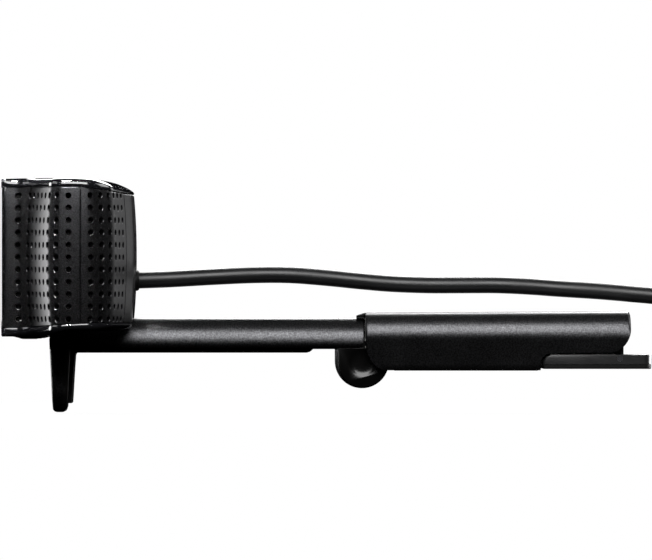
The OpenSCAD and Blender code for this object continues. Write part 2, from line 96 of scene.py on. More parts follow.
class Finish:
    """A procedural material: a Principled shader with grain, tone and gloss from noise."""

    def __init__(self, name, colour, roughness, metallic=0.0):
        self.material = bpy.data.materials.new(name)
        self.material.use_nodes = True
        self.tree = self.material.node_tree
        self.shader = self.tree.nodes["Principled BSDF"]
        self.shader.inputs["Metallic"].default_value = metallic
        self.colour = colour
        self.roughness = roughness
        self.coords = self.node("ShaderNodeTexCoord").outputs["Object"]
        self.normal = None

    def node(self, kind, **values):
        made = self.tree.nodes.new(kind)
        for name, value in values.items():
            made.inputs[name].default_value = value
        return made

    def link(self, a, b):
        self.tree.links.new(a, b)

    def noise(self, size_mm, detail=2.0, stretch=(1, 1, 1)):
        """Noise whose features are about size_mm across."""
        mapping = self.node("ShaderNodeMapping", Scale=stretch)
        texture = self.node("ShaderNodeTexNoise", Scale=1 / (size_mm * MM), Detail=detail)
        self.link(self.coords, mapping.inputs["Vector"])
        self.link(mapping.outputs[0], texture.inputs["Vector"])
        return texture.outputs["Fac"]

    def spread(self, source, low, high, start=0.3, end=0.7):
        """Maps a factor onto a range."""
        mapped = self.node("ShaderNodeMapRange")
        for socket, value in zip((1, 2, 3, 4), (start, end, low, high)):
            mapped.inputs[socket].default_value = value
        self.link(source, mapped.inputs[0])
        return mapped.outputs[0]

    def tone(self, source, change):
        """Colour varied about its mean by a factor."""
        mix = self.node("ShaderNodeMix")
        mix.data_type = "RGBA"
        dark = [c * (1 - change) for c in self.colour]
        light = [min(1.0, c * (1 + change)) for c in self.colour]
        mix.inputs[6].default_value = (*dark, 1)
        mix.inputs[7].default_value = (*light, 1)
        self.link(source, mix.inputs[0])
        self.link(mix.outputs[2], self.shader.inputs["Base Color"])

    def gloss(self, source, change):
        low, high = self.roughness - change, self.roughness + change
        self.link(self.spread(source, max(low, 0.02), min(high, 1)), self.shader.inputs["Roughness"])

    def bump(self, source, depth_mm, strength=1.0):
        bump = self.node("ShaderNodeBump", Strength=strength, Distance=depth_mm * MM)
        self.link(source, bump.inputs["Height"])
        if self.normal is not None:
            self.link(self.normal, bump.inputs["Normal"])
        self.normal = bump.outputs["Normal"]
        self.link(self.normal, self.shader.inputs["Normal"])

    def set(self, **values):
        for name, value in values.items():
            self.shader.inputs[name.replace("_", " ")].default_value = value
        return self

    def waves(self, size_mm, axis, distortion=0.0):
        texture = self.node("ShaderNodeTexWave", Scale=1 / (size_mm * MM) / math.tau)
        texture.inputs["Distortion"].default_value = distortion
        texture.bands_direction = axis
        self.link(self.coords, texture.inputs["Vector"])
        return texture.outputs["Fac"]


def plain(name, colour, roughness, metallic=0.0, grain=0.3, depth=0.01, tone=0.15, gloss=0.06):
    """A finish with fine grain, and with cloudy tone and gloss at a larger scale."""
    made = Finish(name, colour, roughness, metallic)
    fine = made.noise(grain, 3.0)
    made.tone(made.noise(grain * 9, 4.0), tone)
    made.gloss(made.noise(grain * 22, 3.0), gloss)
    made.bump(fine, depth)
    return made


def make_finishes():
    made = {}

    paint = Finish("gunmetal_paint", (0.042, 0.042, 0.044), 0.33, 0.95)
    flake = paint.noise(0.3, 3.0)
    paint.tone(paint.spread(flake, 0, 1, 0.35, 0.72), 0.5)
    paint.gloss(paint.noise(7, 3.0), 0.03)
    paint.bump(paint.noise(0.36, 2.0), 0.013)
    made["gunmetal_paint"] = paint

    skin = Finish("skin_paint", (0.036, 0.036, 0.038), 0.31, 0.95)
    skin.tone(skin.spread(skin.noise(0.26, 3.0), 0, 1, 0.35, 0.72), 0.45)
    skin.gloss(skin.noise(8, 3.0), 0.03)
    skin.bump(skin.noise(0.3, 2.0), 0.008)
    made["skin_paint"] = skin

    gloss = plain("gloss_black", (0.006, 0.006, 0.007), 0.07, grain=0.8, depth=0.0006, gloss=0.02)
    gloss.set(Coat_Weight=0.6, Coat_Roughness=0.03)
    made["gloss_black"] = gloss

    cap = plain("cap_black", (0.002, 0.002, 0.002), 0.2, grain=0.8, depth=0.001, gloss=0.02)
    made["cap_black"] = cap.set(Specular_IOR_Level=0.3)
    black = plain("black_plastic", (0.006, 0.006, 0.006), 0.42, depth=0.012)
    made["black_plastic"] = black.set(Specular_IOR_Level=0.35)
    foot = plain("foot_plastic", (0.007, 0.007, 0.0075), 0.34, depth=0.012)
    made["foot_plastic"] = foot.set(Specular_IOR_Level=0.4)
    rubber = plain("black_rubber", (0.003, 0.003, 0.003), 0.55, grain=0.5, depth=0.03)
    made["black_rubber"] = rubber.set(Specular_IOR_Level=0.12)
    made["ring_metal"] = plain("ring_metal", (0.36, 0.37, 0.39), 0.24, 1.0, grain=0.5, depth=0.001)

    steel = Finish("steel", (0.55, 0.56, 0.58), 0.3, 1.0)
    steel.tone(steel.noise(2.5, 3.0), 0.12)
    steel.gloss(steel.noise(0.6, 3.0, (1, 1, 9)), 0.1)
    steel.bump(steel.noise(0.2, 2.0, (1, 1, 12)), 0.003)
    made["steel"] = steel

    made["dark_screw"] = plain("dark_screw", (0.05, 0.05, 0.055), 0.35, 0.9, depth=0.003)
    made["brass"] = plain("brass", (0.62, 0.44, 0.18), 0.3, 1.0, grain=0.6, depth=0.003)
    made["can_metal"] = plain("can_metal", (0.6, 0.6, 0.62), 0.35, 1.0, grain=0.4, depth=0.004)
    made["white_nylon"] = plain("white_nylon", (0.74, 0.72, 0.66), 0.5, grain=0.5, depth=0.01, tone=0.05)

    board = Finish("circuit_board", (0.012, 0.075, 0.03), 0.35)
    board.tone(board.spread(board.waves(0.5, "X", 3.0), 0, 1, 0.4, 0.6), 0.35)
    board.gloss(board.noise(1.5, 3.0), 0.08)
    board.bump(board.waves(0.5, "X", 3.0), 0.01)
    made["circuit_board"] = board

    made["sensor_glass"] = plain("sensor_glass", (0.03, 0.035, 0.045), 0.12, grain=1.0, depth=0.0005)
    made["lamp"] = plain("lamp", (0.7, 0.68, 0.5), 0.3, grain=0.3, depth=0.002, tone=0.05)

    guide = plain("light_guide", (0.75, 0.78, 0.82), 0.25, grain=0.4, depth=0.002, tone=0.05)
    made["light_guide"] = guide.set(Transmission_Weight=0.6, IOR=1.49)

    glass = plain("window_glass", (0.82, 0.84, 0.86), 0.04, grain=1.5, depth=0.0002, tone=0.03, gloss=0.01)
    made["window_glass"] = glass.set(Transmission_Weight=1.0, IOR=1.5)

    lens = plain("lens_glass", (0.012, 0.014, 0.05), 0.04, grain=1.5, depth=0.0002, gloss=0.01)
    lens.set(Coat_Weight=1.0, Coat_Roughness=0.02, Coat_Tint=(0.55, 0.45, 1.0, 1.0))
    made["lens_glass"] = lens

    cloth = Finish("black_cloth", (0.006, 0.006, 0.006), 0.95)
    weave = cloth.waves(0.35, "Y", 0.4)
    cloth.tone(weave, 0.4)
    cloth.gloss(cloth.noise(0.4), 0.04)
    cloth.bump(cloth.waves(0.35, "Z", 0.4), 0.05)
    cloth.bump(weave, 0.05)
    made["black_cloth"] = cloth

    jacket = plain("cord_jacket", (0.007, 0.007, 0.0075), 0.4, grain=0.6, depth=0.008, tone=0.2)
    made["cord_jacket"] = jacket.set(Specular_IOR_Level=0.4)

    strap = Finish("tie_strap", (0.02, 0.02, 0.022), 0.85)
    loops = strap.noise(0.35, 4.0)
    strap.tone(loops, 0.5)
    strap.gloss(strap.noise(2.0), 0.05)
    strap.bump(loops, 0.12)
    strap.bump(strap.waves(0.6, "DIAGONAL", 1.5), 0.06)
    made["tie_strap"] = strap.set(Sheen_Weight=0.3, Sheen_Roughness=0.5)

    made["plug_plastic"] = plain("plug_plastic", (0.013, 0.013, 0.014), 0.48, grain=0.35, depth=0.02)
    made["plug_metal"] = plain("plug_metal", (0.62, 0.62, 0.64), 0.25, 1.0, grain=0.5, depth=0.002)
    return made


finishes = make_finishes()


def dress(piece, finish):
    piece.data.materials.clear()
    piece.data.materials.append(finishes[finish].material)


# ---------------------------------------------------------------- mesh helpers


class Solid:
    """Collects points and faces of a closed solid, in millimetres."""

    def __init__(self):
        self.points = []
        self.faces = []

    def add(self, point):
        self.points.append(place(*point))
        return len(self.points) - 1

    def ring(self, points):
        return [self.add(p) for p in points]

    def bridge(self, a, b, closed=True):
        count = len(a)
        for i in range(count if closed else count - 1):
            j = (i + 1) % count
            self.faces.append((a[i], a[j], b[j], b[i]))

    def cap(self, ring):
        self.faces.append(tuple(ring))

    def loft(self, rings, closed=False):
        """Joins rings of points in turn, and caps the two ends or joins them."""
        made = [self.ring(r) for r in rings]
        for a, b in zip(made, made[1:]):
            self.bridge(a, b)
        if closed:
            self.bridge(made[-1], made[0])
        else:
            self.cap(made[0])
            self.cap(made[-1])
        return made

    def mesh(self, name):
        data = bpy.data.meshes.new(name)
        data.from_pydata([tuple(p) for p in self.points], [], self.faces)
        tidy_mesh(data)
        piece = bpy.data.objects.new(name, data)
        bpy.context.scene.collection.objects.link(piece)
        return piece


def tidy_mesh(data):
    """Welds doubles, drops loose points, and turns the faces outwards."""
    work = bmesh.new()
    work.from_mesh(data)
    bmesh.ops.remove_doubles(work, verts=work.verts, dist=0.002 * MM)
    loose = [v for v in work.verts if not v.link_faces]
    bmesh.ops.delete(work, geom=loose, context="VERTS")
    bmesh.ops.recalc_face_normals(work, faces=work.faces)
    work.to_mesh(data)
    work.free()


def bake(piece):
    """Applies the piece's modifiers."""
    bpy.context.view_layer.update()
    graph = bpy.context.evaluated_depsgraph_get()
    done = bpy.data.meshes.new_from_object(piece.evaluated_get(graph))
    piece.modifiers.clear()
    piece.data = done
    return piece


def combine(piece, others, how):
    """Cuts the others from the piece, or joins them to it, and removes them."""
    for other in others:
        change = piece.modifiers.new(how, "BOOLEAN")
        change.object = other
        change.operation = how
        change.solver = "EXACT"
        bake(piece)
        bpy.data.objects.remove(other)
    tidy_mesh(piece.data)
    return piece


def shade(piece, sharp=32):
    data = piece.data
    data.polygons.foreach_set("use_smooth", [True] * len(data.polygons))
    data.set_sharp_from_angle(angle=math.radians(sharp))


def bevel(piece, width, segments=2, angle=40):
    change = piece.modifiers.new("bevel", "BEVEL")
    change.width = width * MM
    change.segments = segments
    change.limit_method = "ANGLE"
    change.angle_limit = math.radians(angle)
    change.use_clamp_overlap = True
    return piece


def fit(piece, finish, body, nodes=(), sharp=32):
    """Finishes a piece: its material, its shading, its body and the CAD nodes it stands for."""
    dress(piece, finish)
    shade(piece, sharp)
    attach(piece, body)
    if nodes:
        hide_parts(*nodes)
    return piece


def block(name, low, high):
    """A box as a cutter or a building block."""
    (x0, u0, z0), (x1, u1, z1) = low, high
    made = Solid()
    made.loft([[(x, u0, z0), (x, u1, z0), (x, u1, z1), (x, u0, z1)] for x in (x0, x1)])
    return made.mesh(name)


def circle(radius, count, start=0.0):
    return [
        (radius * math.cos(start + math.tau * i / count), radius * math.sin(start + math.tau * i / count))
        for i in range(count)
    ]


def rod_y(name, x, z, radius, u0, u1, count=48):
    made = Solid()
    made.loft([[(x + a, u, z + b) for a, b in circle(radius, count)] for u in (u0, u1)])
    return made.mesh(name)


def rod_z(name, x, u, radius, z0, z1, count=48):
    made = Solid()
    made.loft([[(x + a, u + b, z) for a, b in circle(radius, count)] for z in (z0, z1)])
    return made.mesh(name)


def rod_x(name, u, z, radius, x0, x1, count=48):
    made = Solid()
    made.loft([[(x, u + a, z + b) for a, b in circle(radius, count)] for x in (x0, x1)])
    return made.mesh(name)


def lathe_y(name, x, z, profile, count=72):
    """Turns (radius, depth) points about a line along Y. The profile is a closed loop off the line,
    or starts and ends on the line."""
    made = Solid()
    open_ends = profile[0][0] == 0
    middle = profile[1:-1] if open_ends else profile
    rings = [
        made.ring([(x + a, u, z + b) for a, b in circle(r, count)])
        for r, u in middle
    ]
    for a, b in zip(rings, rings[1:]):
        made.bridge(a, b)
    if open_ends:
        for tip, ring in ((profile[0], rings[0]), (profile[-1], rings[-1])):
            centre = made.add((x, tip[1], z))
            for i, point in enumerate(ring):
                made.faces.append((point, ring[(i + 1) % count], centre))
    else:
        made.bridge(rings[-1], rings[0])
    return made.mesh(name)


def slab_x(name, outline, x0, x1, edge):
    """An outline of (u, z) points drawn across X, with rounded rims of that radius."""
    points = [Vector(p) for p in outline]
    area = sum(a.x * b.y - b.x * a.y for a, b in zip(points, points[1:] + points[:1]))
    turn = 1 if area > 0 else -1
    inward = []
    for i, p in enumerate(points):
        before = (p - points[i - 1]).normalized()
        after = (points[(i + 1) % len(points)] - p).normalized()
        normal = Vector((-(before.y + after.y), before.x + after.x)) * turn
        lean = max(0.45, normal.length / 2)
        inward.append(normal.normalized() / lean if normal.length > 1e-6 else Vector((0, 0)))
    made = Solid()
    turns = [math.radians(a) for a in (0, 30, 60, 90)]
    rims = [(x0 + edge * (1 - math.cos(a)), edge * (1 - math.sin(a))) for a in turns]
    last = [(x1 - (x - x0), inset) for x, inset in reversed(rims)]
    made.loft([
        [(x, p.x + n.x * inset, p.y + n.y * inset) for p, n in zip(points, inward)]
        for x, inset in rims + last
    ])
    return made.mesh(name)


def arc(cx, cy, r, start, end, count):
    """Points on an arc, by angles in degrees."""
    return [
        (cx + r * math.cos(math.radians(start + (end - start) * i / count)),
         cy + r * math.sin(math.radians(start + (end - start) * i / count)))
        for i in range(count + 1)
    ]


def smooth(t):
    t = min(max(t, 0.0), 1.0)
    return t * t * (3 - 2 * t)


def steps(start, end, count):
    """Values after start, up to and with end."""
    return [start + (end - start) * i / count for i in range(1, count + 1)]


# ---------------------------------------------------------------- lead: coil, tie and plug

LEAD_ROUTE = [
    (0, -42, 28.6), (0, -34, 28.9), (0, -25, 29.4), (0, -16, 29.8), (0, -8, 29.8), (0, 0, 29.2),
    (0, 7, 28.5), (0, 14, 27.9), (0, 22, 27.6), (0, 29, 27.6), (0, 37, 27.6), (0, 44, 27.3),
    (0, 51, 26.8), (0, 59, 26.3), (0, 66, 25.7), (0, 73, 25), (-0.2, 79, 23.6),
    (-0.8, 84.6, 20.8), (-1.6, 89.6, 17.4), (-2.6, 94.4, 14.4),
]
TAIL_ROUTE = [(26, 128.6, 2.6), (32, 128.6, 3.4), (37, 128.6, 4), (41, 128.6, 4)]
coil_low, coil_high = (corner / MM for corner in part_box("cord_coil"))
COIL_X = (coil_low.x + coil_high.x) / 2
COIL_Y = (coil_low.y + coil_high.y) / 2
COIL_OUTER = (coil_high.y - coil_low.y) / 2 - LEAD_D / 2
COIL_TOP = coil_high.z - LEAD_D / 2
COIL_START = 195
COIL_END = 90
SHIFT_AT = -70
SHIFT_HALF = 45
SHIFT_BULGE = 1.36
COIL_CELLS = [(0, 0), (1, 0), (2, 0), (2, 1), (1, 1), (0, 1), (0, 2), (1, 2), (2, 2), (2, 3), (1, 3), (0, 3)]
TURN_STEPS = 36


def coil_points():
    """The winding, clockwise from above: each turn keeps to its cell and shifts to the next in one place."""
    turns = len(COIL_CELLS) - 1
    sweep = COIL_START - COIL_END + 360 * turns
    count = round(sweep / 360 * TURN_STEPS)
    points = []
    for i in range(count + 1):
        angle = COIL_START - sweep * i / count
        passed = (SHIFT_AT + SHIFT_HALF - angle) / 360
        index = min(max(math.floor(passed), -1), turns - 1) + 1
        turned = (passed - math.floor(passed)) * 180 / SHIFT_HALF
        share = smooth(turned) if 0 < index else 1.0
        before = COIL_CELLS[max(index - 1, 0)]
        after = COIL_CELLS[index]
        across = before[0] + (after[0] - before[0]) * share
        down = before[1] + (after[1] - before[1]) * share
        bulge = 0.0
        if before[1] != after[1] and 0 < turned < 1:
            bulge = SHIFT_BULGE * math.sin(math.pi * share) * (1 if after[0] == 0 else -1)
        radius = COIL_OUTER - LEAD_D * across + bulge
        turn = math.radians(angle)
        points.append((
            COIL_X + radius * math.cos(turn),
            COIL_Y + radius * math.sin(turn),
            COIL_TOP - LEAD_D * down,
        ))
    return points


def through(points, parts):
    """A smooth line through the points."""
    line = [np.array(p, float) for p in points]
    line = [2 * line[0] - line[1], *line, 2 * line[-1] - line[-2]]
    out = []
    for a, b, c, d in zip(line, line[1:], line[2:], line[3:]):
        for i in range(parts):
            t = i / parts
            out.append(0.5 * (2 * b + (c - a) * t + (2 * a - 5 * b + 4 * c - d) * t**2
                              + (3 * b - a - 3 * c + d) * t**3))
    out.append(line[-2])
    return out


def tube(name, path, radius, sides=16):
    """A round tube along points in the frame's millimetres."""
    made = Solid()
    rings = []
    side = None
    for i, p in enumerate(path):
        ahead = Vector(path[min(i + 1, len(path) - 1)]) - Vector(path[max(i - 1, 0)])
        ahead.normalize()
        if side is None:
            side = ahead.cross(UP).normalized()
        side = (side - ahead * side.dot(ahead)).normalized()
        over = side.cross(ahead)
        rings.append([
            tuple(Vector((p[0], depth_of(p[1]), p[2])) + side * a + over * b)
            for a, b in circle(radius, sides)
        ])
    made.loft(rings)
    return made.mesh(name)


def make_lead():
    coil = coil_points()
    path = through([*LEAD_ROUTE, coil[0]], 4)[:-1] + [np.array(p, float) for p in coil]
    path += through([coil[-1], *TAIL_ROUTE], 4)[1:]
    length = sum(float(np.linalg.norm(b - a)) for a, b in zip(path, path[1:])) * MM
    lead = tube("usb_lead", path, LEAD_D / 2)
    dress(lead, "cord_jacket")
    shade(lead, 60)
    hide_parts("cord", "cord_coil", "cord_tail")
    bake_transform(lead)
    return lead, [tuple(float(c) * MM for c in p) for p in path], length


def squircle(half_a, half_b, power, count):
    """Points on a rounded rectangle, as a superellipse."""
    points = []
    for i in range(count):
        c, s = math.cos(math.tau * i / count), math.sin(math.tau * i / count)
        points.append((
            half_a * math.copysign(abs(c) ** (2 / power), c),
            half_b * math.copysign(abs(s) ** (2 / power), s),
        ))
    return points


def make_tie():
    """A hook-and-loop strap round the winding."""
    low, high = (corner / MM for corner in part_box("cord_tie"))
    radius = COIL_OUTER - LEAD_D
    middle = (coil_low.z + coil_high.z) / 2
    half_wide = 1.5 * LEAD_D
    half_tall = (coil_high.z - coil_low.z) / 2
    strap = (high.z - coil_high.z) * 0.96
    half_strap = (high.y - low.y) / 2 * 0.82
    made = Solid()
    rings = []
    for i in range(72):
        turn = math.tau * i / 72
        pair = []
        for grow in (0.02, strap):
            a, b = squircle(half_wide + grow, half_tall + grow, 7, 72)[i]
            pair.append((a, b))
        (ia, ib), (oa, ob) = pair
        ripple = 0.05 * math.sin(6 * turn)
        rings.append([
            (COIL_X + radius + ia, depth_of(COIL_Y - half_strap), middle + ib),
            (COIL_X + radius + ia, depth_of(COIL_Y + half_strap), middle + ib),
            (COIL_X + radius + oa, depth_of(COIL_Y + half_strap - 0.15), middle + ob),
            (COIL_X + radius + oa, depth_of(COIL_Y + ripple), middle + ob),
            (COIL_X + radius + oa, depth_of(COIL_Y - half_strap + 0.15), middle + ob),
        ])
    made.loft(rings, closed=True)
    return fit(made.mesh("lead_tie"), "tie_strap", "base", ["cord_tie"])


def make_plug():
    """A moulded USB plug: tapered relief with grooves, ridged grip, folded shell and tongue."""
    low, high = (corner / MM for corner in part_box("plug_body"))
    depth, height = depth_of((low.y + high.y) / 2), (low.z + high.z) / 2
    half_wide, half_tall = (high.y - low.y) / 2, (high.z - low.z) / 2
    relief = 7.0
    made = Solid()
    rings = []

    def section(x, a, b, power):
        rings.append([(x, depth + p, height + q) for p, q in squircle(a, b, power, 64)])

    section(low.x, 1.9, 1.9, 2)
    for i in range(1, 29):
        t = i / 28
        groove = 0.32 if i % 4 in (2, 3) and t < 0.9 else 0.0
        section(low.x + relief * t, 2.0 + 1.2 * t - groove, 2.0 + 0.9 * t - groove, 2 + t)
    for turn in (0, 20, 40, 60, 75, 90):
        c, s = math.cos(math.radians(turn)), math.sin(math.radians(turn))
        section(low.x + relief + 1.6 * (1 - c) * 1.0, 3.2 + (half_wide - 3.2) * s,
            2.9 + (half_tall - 2.9) * s, 4.5)
    grip_start, grip_end = low.x + relief + 3, high.x - 4
    for i in range(41):
        t = i / 40
        ridge = 0.22 * (1 - math.cos(math.tau * 6 * t)) / 2
        section(grip_start + (grip_end - grip_start) * t, half_wide - ridge, half_tall, 5)
    for turn in (90, 60, 30, 0):
        c, s = math.cos(math.radians(turn)), math.sin(math.radians(turn))
        section(high.x - 0.8 + 0.8 * c, half_wide - 0.8 * (1 - s), half_tall - 0.8 * (1 - s), 5)
    made.loft(rings)
    body = fit(made.mesh("plug_moulding"), "plug_plastic", "base", ["plug_body"], 40)

    low, high = (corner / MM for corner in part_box("plug_shell"))
    half_wide, half_tall = (high.y - low.y) / 2, (high.z - low.z) / 2
    made = Solid()
    rings = []
    for x, inset in ((low.x, 0), (high.x - 0.25, 0), (high.x, 0.08), (high.x, 0.27), (low.x, 0.35)):
        rings.append([
            (x, depth + p, height + q)
            for p, q in squircle(half_wide - inset, half_tall - inset, 14, 56)
        ])
    made.loft(rings, closed=True)
    shell = made.mesh("plug_can")
    holes = []
    for side in (-1, 1):
        centre = depth + side * 2.9
        for top in (height - half_tall - 1, height + half_tall - 1):
            holes.append(block("hole", (low.x + 5.2, centre - 1.1, top), (low.x + 7.6, centre + 1.1,
                top + 2)))
    combine(shell, holes, "DIFFERENCE")
    fit(shell, "plug_metal", "base", ["plug_shell"])

    dress(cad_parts["plug_tongue"], "white_nylon")
    return [body, shell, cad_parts["plug_tongue"]]


make_camera()
lead, lead_path, lead_length = make_lead()
tie = make_tie()
plug = make_plug()
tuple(lead_path[0])


# ---------------------------------------------------------------- head

HEAD_HALF = 47.5
BLOCK_HALF = 30.4
SWEEP = 17.8
FRONT_R = 1.5
FILLET_R = 3
TIP_R = 3.8
TIP_U = 13.7
HEEL_R = 8.2
HEEL_U = 17.2
BACK_HALF = 28.5
HEAD_BACK = 29.5
BACK_R = 10
BEZEL_U = 0.5
SHELL_SEAM = 17.45
BACK_SEAM = 27.25
SKIN_MIDDLE = 33.6
SKIN_HALF = 15.2
BARREL = 0.75
FRONT_PITCH = 2.78
REAR_PITCH = 2.68
ROW_PITCH = 2.67
HOLE_ROWS = 11
FIRST_HOLE_U = 3.75
FIRST_REAR_HOLE_U = 19.7
WALL = 1.4
LENS_Z = 34.2
LIGHT_X = 15


class Outline:
    """Half of the head in plan by length along it, from the middle of the front to the middle of the
    back. Lengths below zero or past the end run round the other half."""

    def __init__(self):
        self.parts = []
        slope = math.radians(SWEEP)
        tip_x = HEAD_HALF - TIP_R
        heel_x = HEAD_HALF - HEEL_R
        fillet_x = BLOCK_HALF + FILLET_R
        wing_x = tip_x + TIP_R * math.sin(slope)
        wing_u = TIP_U - TIP_R * math.cos(slope)
        fillet_u = wing_u + (fillet_x - wing_x) * math.tan(slope) - FILLET_R / math.cos(slope)
        corner_x = BLOCK_HALF - FRONT_R
        self.line((0, 0), (corner_x, 0))
        self.turn(corner_x, FRONT_R, FRONT_R, -90, 0, 1)
        self.side_start = self.length
        self.line((BLOCK_HALF, FRONT_R), (BLOCK_HALF, fillet_u))
        self.turn(fillet_x, fillet_u, FILLET_R, 180, 90 + SWEEP, -1)
        wing_start = (
            fillet_x + FILLET_R * math.cos(math.radians(90 + SWEEP)),
            fillet_u + FILLET_R * math.sin(math.radians(90 + SWEEP)),
        )
        self.line(wing_start, (wing_x, wing_u))
        self.turn(tip_x, TIP_U, TIP_R, SWEEP - 90, 0, 1)
        self.tip = self.length
        self.line((HEAD_HALF, TIP_U), (HEAD_HALF, HEEL_U))
        self.turn(heel_x, HEEL_U, HEEL_R, 0, 90 - SWEEP, 1)
        heel_end = (heel_x + HEEL_R * math.sin(slope), HEEL_U + HEEL_R * math.cos(slope))
        reach = BACK_R * math.tan(slope / 2)
        back = (BACK_HALF, HEAD_BACK - 0.5)
        self.line(heel_end, (back[0] + reach * math.cos(slope), back[1] - reach * math.sin(slope)))
        self.turn(back[0] - reach, back[1] - BACK_R, BACK_R, 90 - SWEEP, 90, 1)
        self.line((back[0] - reach, back[1]), (0, back[1]))

    @property
    def length(self):
        return sum(p[0] for p in self.parts)

    def line(self, a, b):
        a, b = Vector(a), Vector(b)
        ahead = (b - a).normalized()
        self.parts.append(((b - a).length, lambda t: (a + (b - a) * t, Vector((ahead.y, -ahead.x)))))

    def turn(self, cx, cu, r, start, end, side):
        def at(t):
            angle = math.radians(start + (end - start) * t)
            out = Vector((math.cos(angle), math.sin(angle)))
            return Vector((cx, cu)) + out * r, out * side

        self.parts.append((math.radians(abs(end - start)) * r, at))

    def at(self, s):
        """The point and the outward normal there."""
        if s < 0 or s > self.length:
            point, normal = self.at(-s if s < 0 else 2 * self.length - s)
            return Vector((-point.x, point.y)), Vector((-normal.x, normal.y))
        for size, part in self.parts:
            if s <= size or part is self.parts[-1][1]:
                return part(min(s / size, 1))
            s -= size
        return None

    def where(self, u):
        """The length along the outline at that depth, on the way back."""
        low, high = 0.0, self.length
        for _ in range(40):
            middle = (low + high) / 2
            if self.at(middle)[0].y < u:
                low = middle
            else:
                high = middle
        return low


outline = Outline()


def seam_low(u):
    return 18.2 + 1.1 * min(u, SHELL_SEAM) / SHELL_SEAM + 0.3 * max(0, u - SHELL_SEAM) / 12.5


def seam_high(u):
    return 48.8 - 1.8 * max(0, u - SHELL_SEAM) / 12.5


def skin(s, z, inset=0.0):
    """A point on the head's side, which is slightly barrelled from rim to rim."""
    point, normal = outline.at(s)
    side = smooth((abs(s) - outline.side_start + 2.3) / 2.3)
    level = min(max(z, seam_low(point.y)), seam_high(point.y))
    lean = BARREL * abs((level - SKIN_MIDDLE) / SKIN_HALF) ** 2.2 * side
    point = point - normal * (inset + lean)
    return (point.x, point.y, z)


class Skin:
    """A stretch of the head's wall as a closed shell with rounded edges, and drilled cells in it."""

    EDGE = 0.18

    def __init__(self, start, end, first_hole=None, columns=0, pitch=FRONT_PITCH, spacing=0.5):
        self.lengths = [start]
        self.hole_columns = []
        plain_end = end - self.EDGE
        at = start + self.EDGE
        self.lengths.append(at)
        if columns:
            first_edge = first_hole - pitch / 2
            self.lengths += steps(at, first_edge, max(1, round((first_edge - at) / spacing)))
            for column in range(columns):
                self.hole_columns.append((len(self.lengths) - 1, first_hole + column * pitch))
                edge = first_edge + column * pitch
                self.lengths += steps(edge, edge + pitch, 4)
            at = first_edge + columns * pitch
        self.lengths += steps(at, plain_end, max(1, round((plain_end - at) / spacing)))
        self.lengths.append(end)
        self.levels = 4 * HOLE_ROWS + 3
        self.solid = Solid()
        self.known = {}

    def row(self, index):
        return SKIN_MIDDLE + (index - (HOLE_ROWS - 1) / 2) * ROW_PITCH

    def height(self, s, b):
        u = outline.at(s)[0].y
        low, high = seam_low(u), seam_high(u)
        if b == 0:
            return low
        if b == self.levels - 1:
            return high
        row, part = divmod(b - 1, 4)
        edges = [low + self.EDGE] + [self.row(i) - ROW_PITCH / 2 for i in range(1, HOLE_ROWS)]
        edges.append(high - self.EDGE)
        if row >= HOLE_ROWS:
            return edges[-1]
        return edges[row] + (edges[row + 1] - edges[row]) * part / 4

    def vertex(self, a, b, inner):
        key = (a, b, inner)
        if key not in self.known:
            s = self.lengths[a]
            rim = a in (0, len(self.lengths) - 1) or b in (0, self.levels - 1)
            inset = WALL if inner else (0.14 if rim else 0.0)
            self.known[key] = self.solid.add(skin(s, self.height(s, b), inset))
        return self.known[key]

    def hole(self, a, s_middle, row):
        """One drilled cell: the square's border, the lit rim, the throat and the border inside."""
        z_middle = self.row(row)
        b = 1 + 4 * row
        around = [(4, 2), (4, 3), (4, 4), (3, 4), (2, 4), (1, 4), (0, 4), (0, 3),
                  (0, 2), (0, 1), (0, 0), (1, 0), (2, 0), (3, 0), (4, 0), (4, 1)]
        rings = [[self.vertex(a + i, b + j, False) for i, j in around]]
        for radius, inset in ((0.71, 0.0), (0.6, 0.12), (0.58, WALL)):
            rings.append([
                self.solid.add(skin(s_middle + p, z_middle + q, inset))
                for p, q in circle(radius, 16)
            ])
        rings.append([self.vertex(a + i, b + j, True) for i, j in around])
        for one, other in zip(rings, rings[1:]):
            self.solid.bridge(one, other)

    def build(self, name):
        drilled = set()
        for a, s_middle in self.hole_columns:
            for row in range(HOLE_ROWS):
                self.hole(a, s_middle, row)
                drilled |= {(a + i, 1 + 4 * row + j) for i in range(4) for j in range(4)}
        last_a, last_b = len(self.lengths) - 1, self.levels - 1
        for a in range(last_a):
            for b in range(last_b):
                if (a, b) not in drilled:
                    corners = [(a, b), (a + 1, b), (a + 1, b + 1), (a, b + 1)]
                    for inner in (False, True):
                        self.solid.faces.append(tuple(self.vertex(*c, inner) for c in corners))
        rim = [(a, 0) for a in range(last_a)] + [(last_a, b) for b in range(last_b)]
        rim += [(a, last_b) for a in range(last_a, 0, -1)] + [(0, b) for b in range(last_b, 0, -1)]
        outer = [self.vertex(*c, False) for c in rim]
        self.solid.bridge(outer, [self.vertex(*c, True) for c in rim])
        return self.solid.mesh(name)


def mirrored(piece):
    """The piece and its mirror image across the middle of the bar, as one mesh."""
    work = bmesh.new()
    work.from_mesh(piece.data)
    copy = bmesh.ops.duplicate(work, geom=work.verts[:] + work.edges[:] + work.faces[:])["geom"]
    for v in (g for g in copy if isinstance(g, bmesh.types.BMVert)):
        v.co.x = -v.co.x
    bmesh.ops.recalc_face_normals(work, faces=work.faces)
    work.to_mesh(piece.data)
    work.free()
    return piece


def joined(name, pieces):
    """Several meshes as one piece."""
    work = bmesh.new()
    for piece in pieces:
        work.from_mesh(piece.data)
        bpy.data.objects.remove(piece)
    data = bpy.data.meshes.new(name)
    work.to_mesh(data)
    work.free()
    made = bpy.data.objects.new(name, data)
    bpy.context.scene.collection.objects.link(made)
    return made


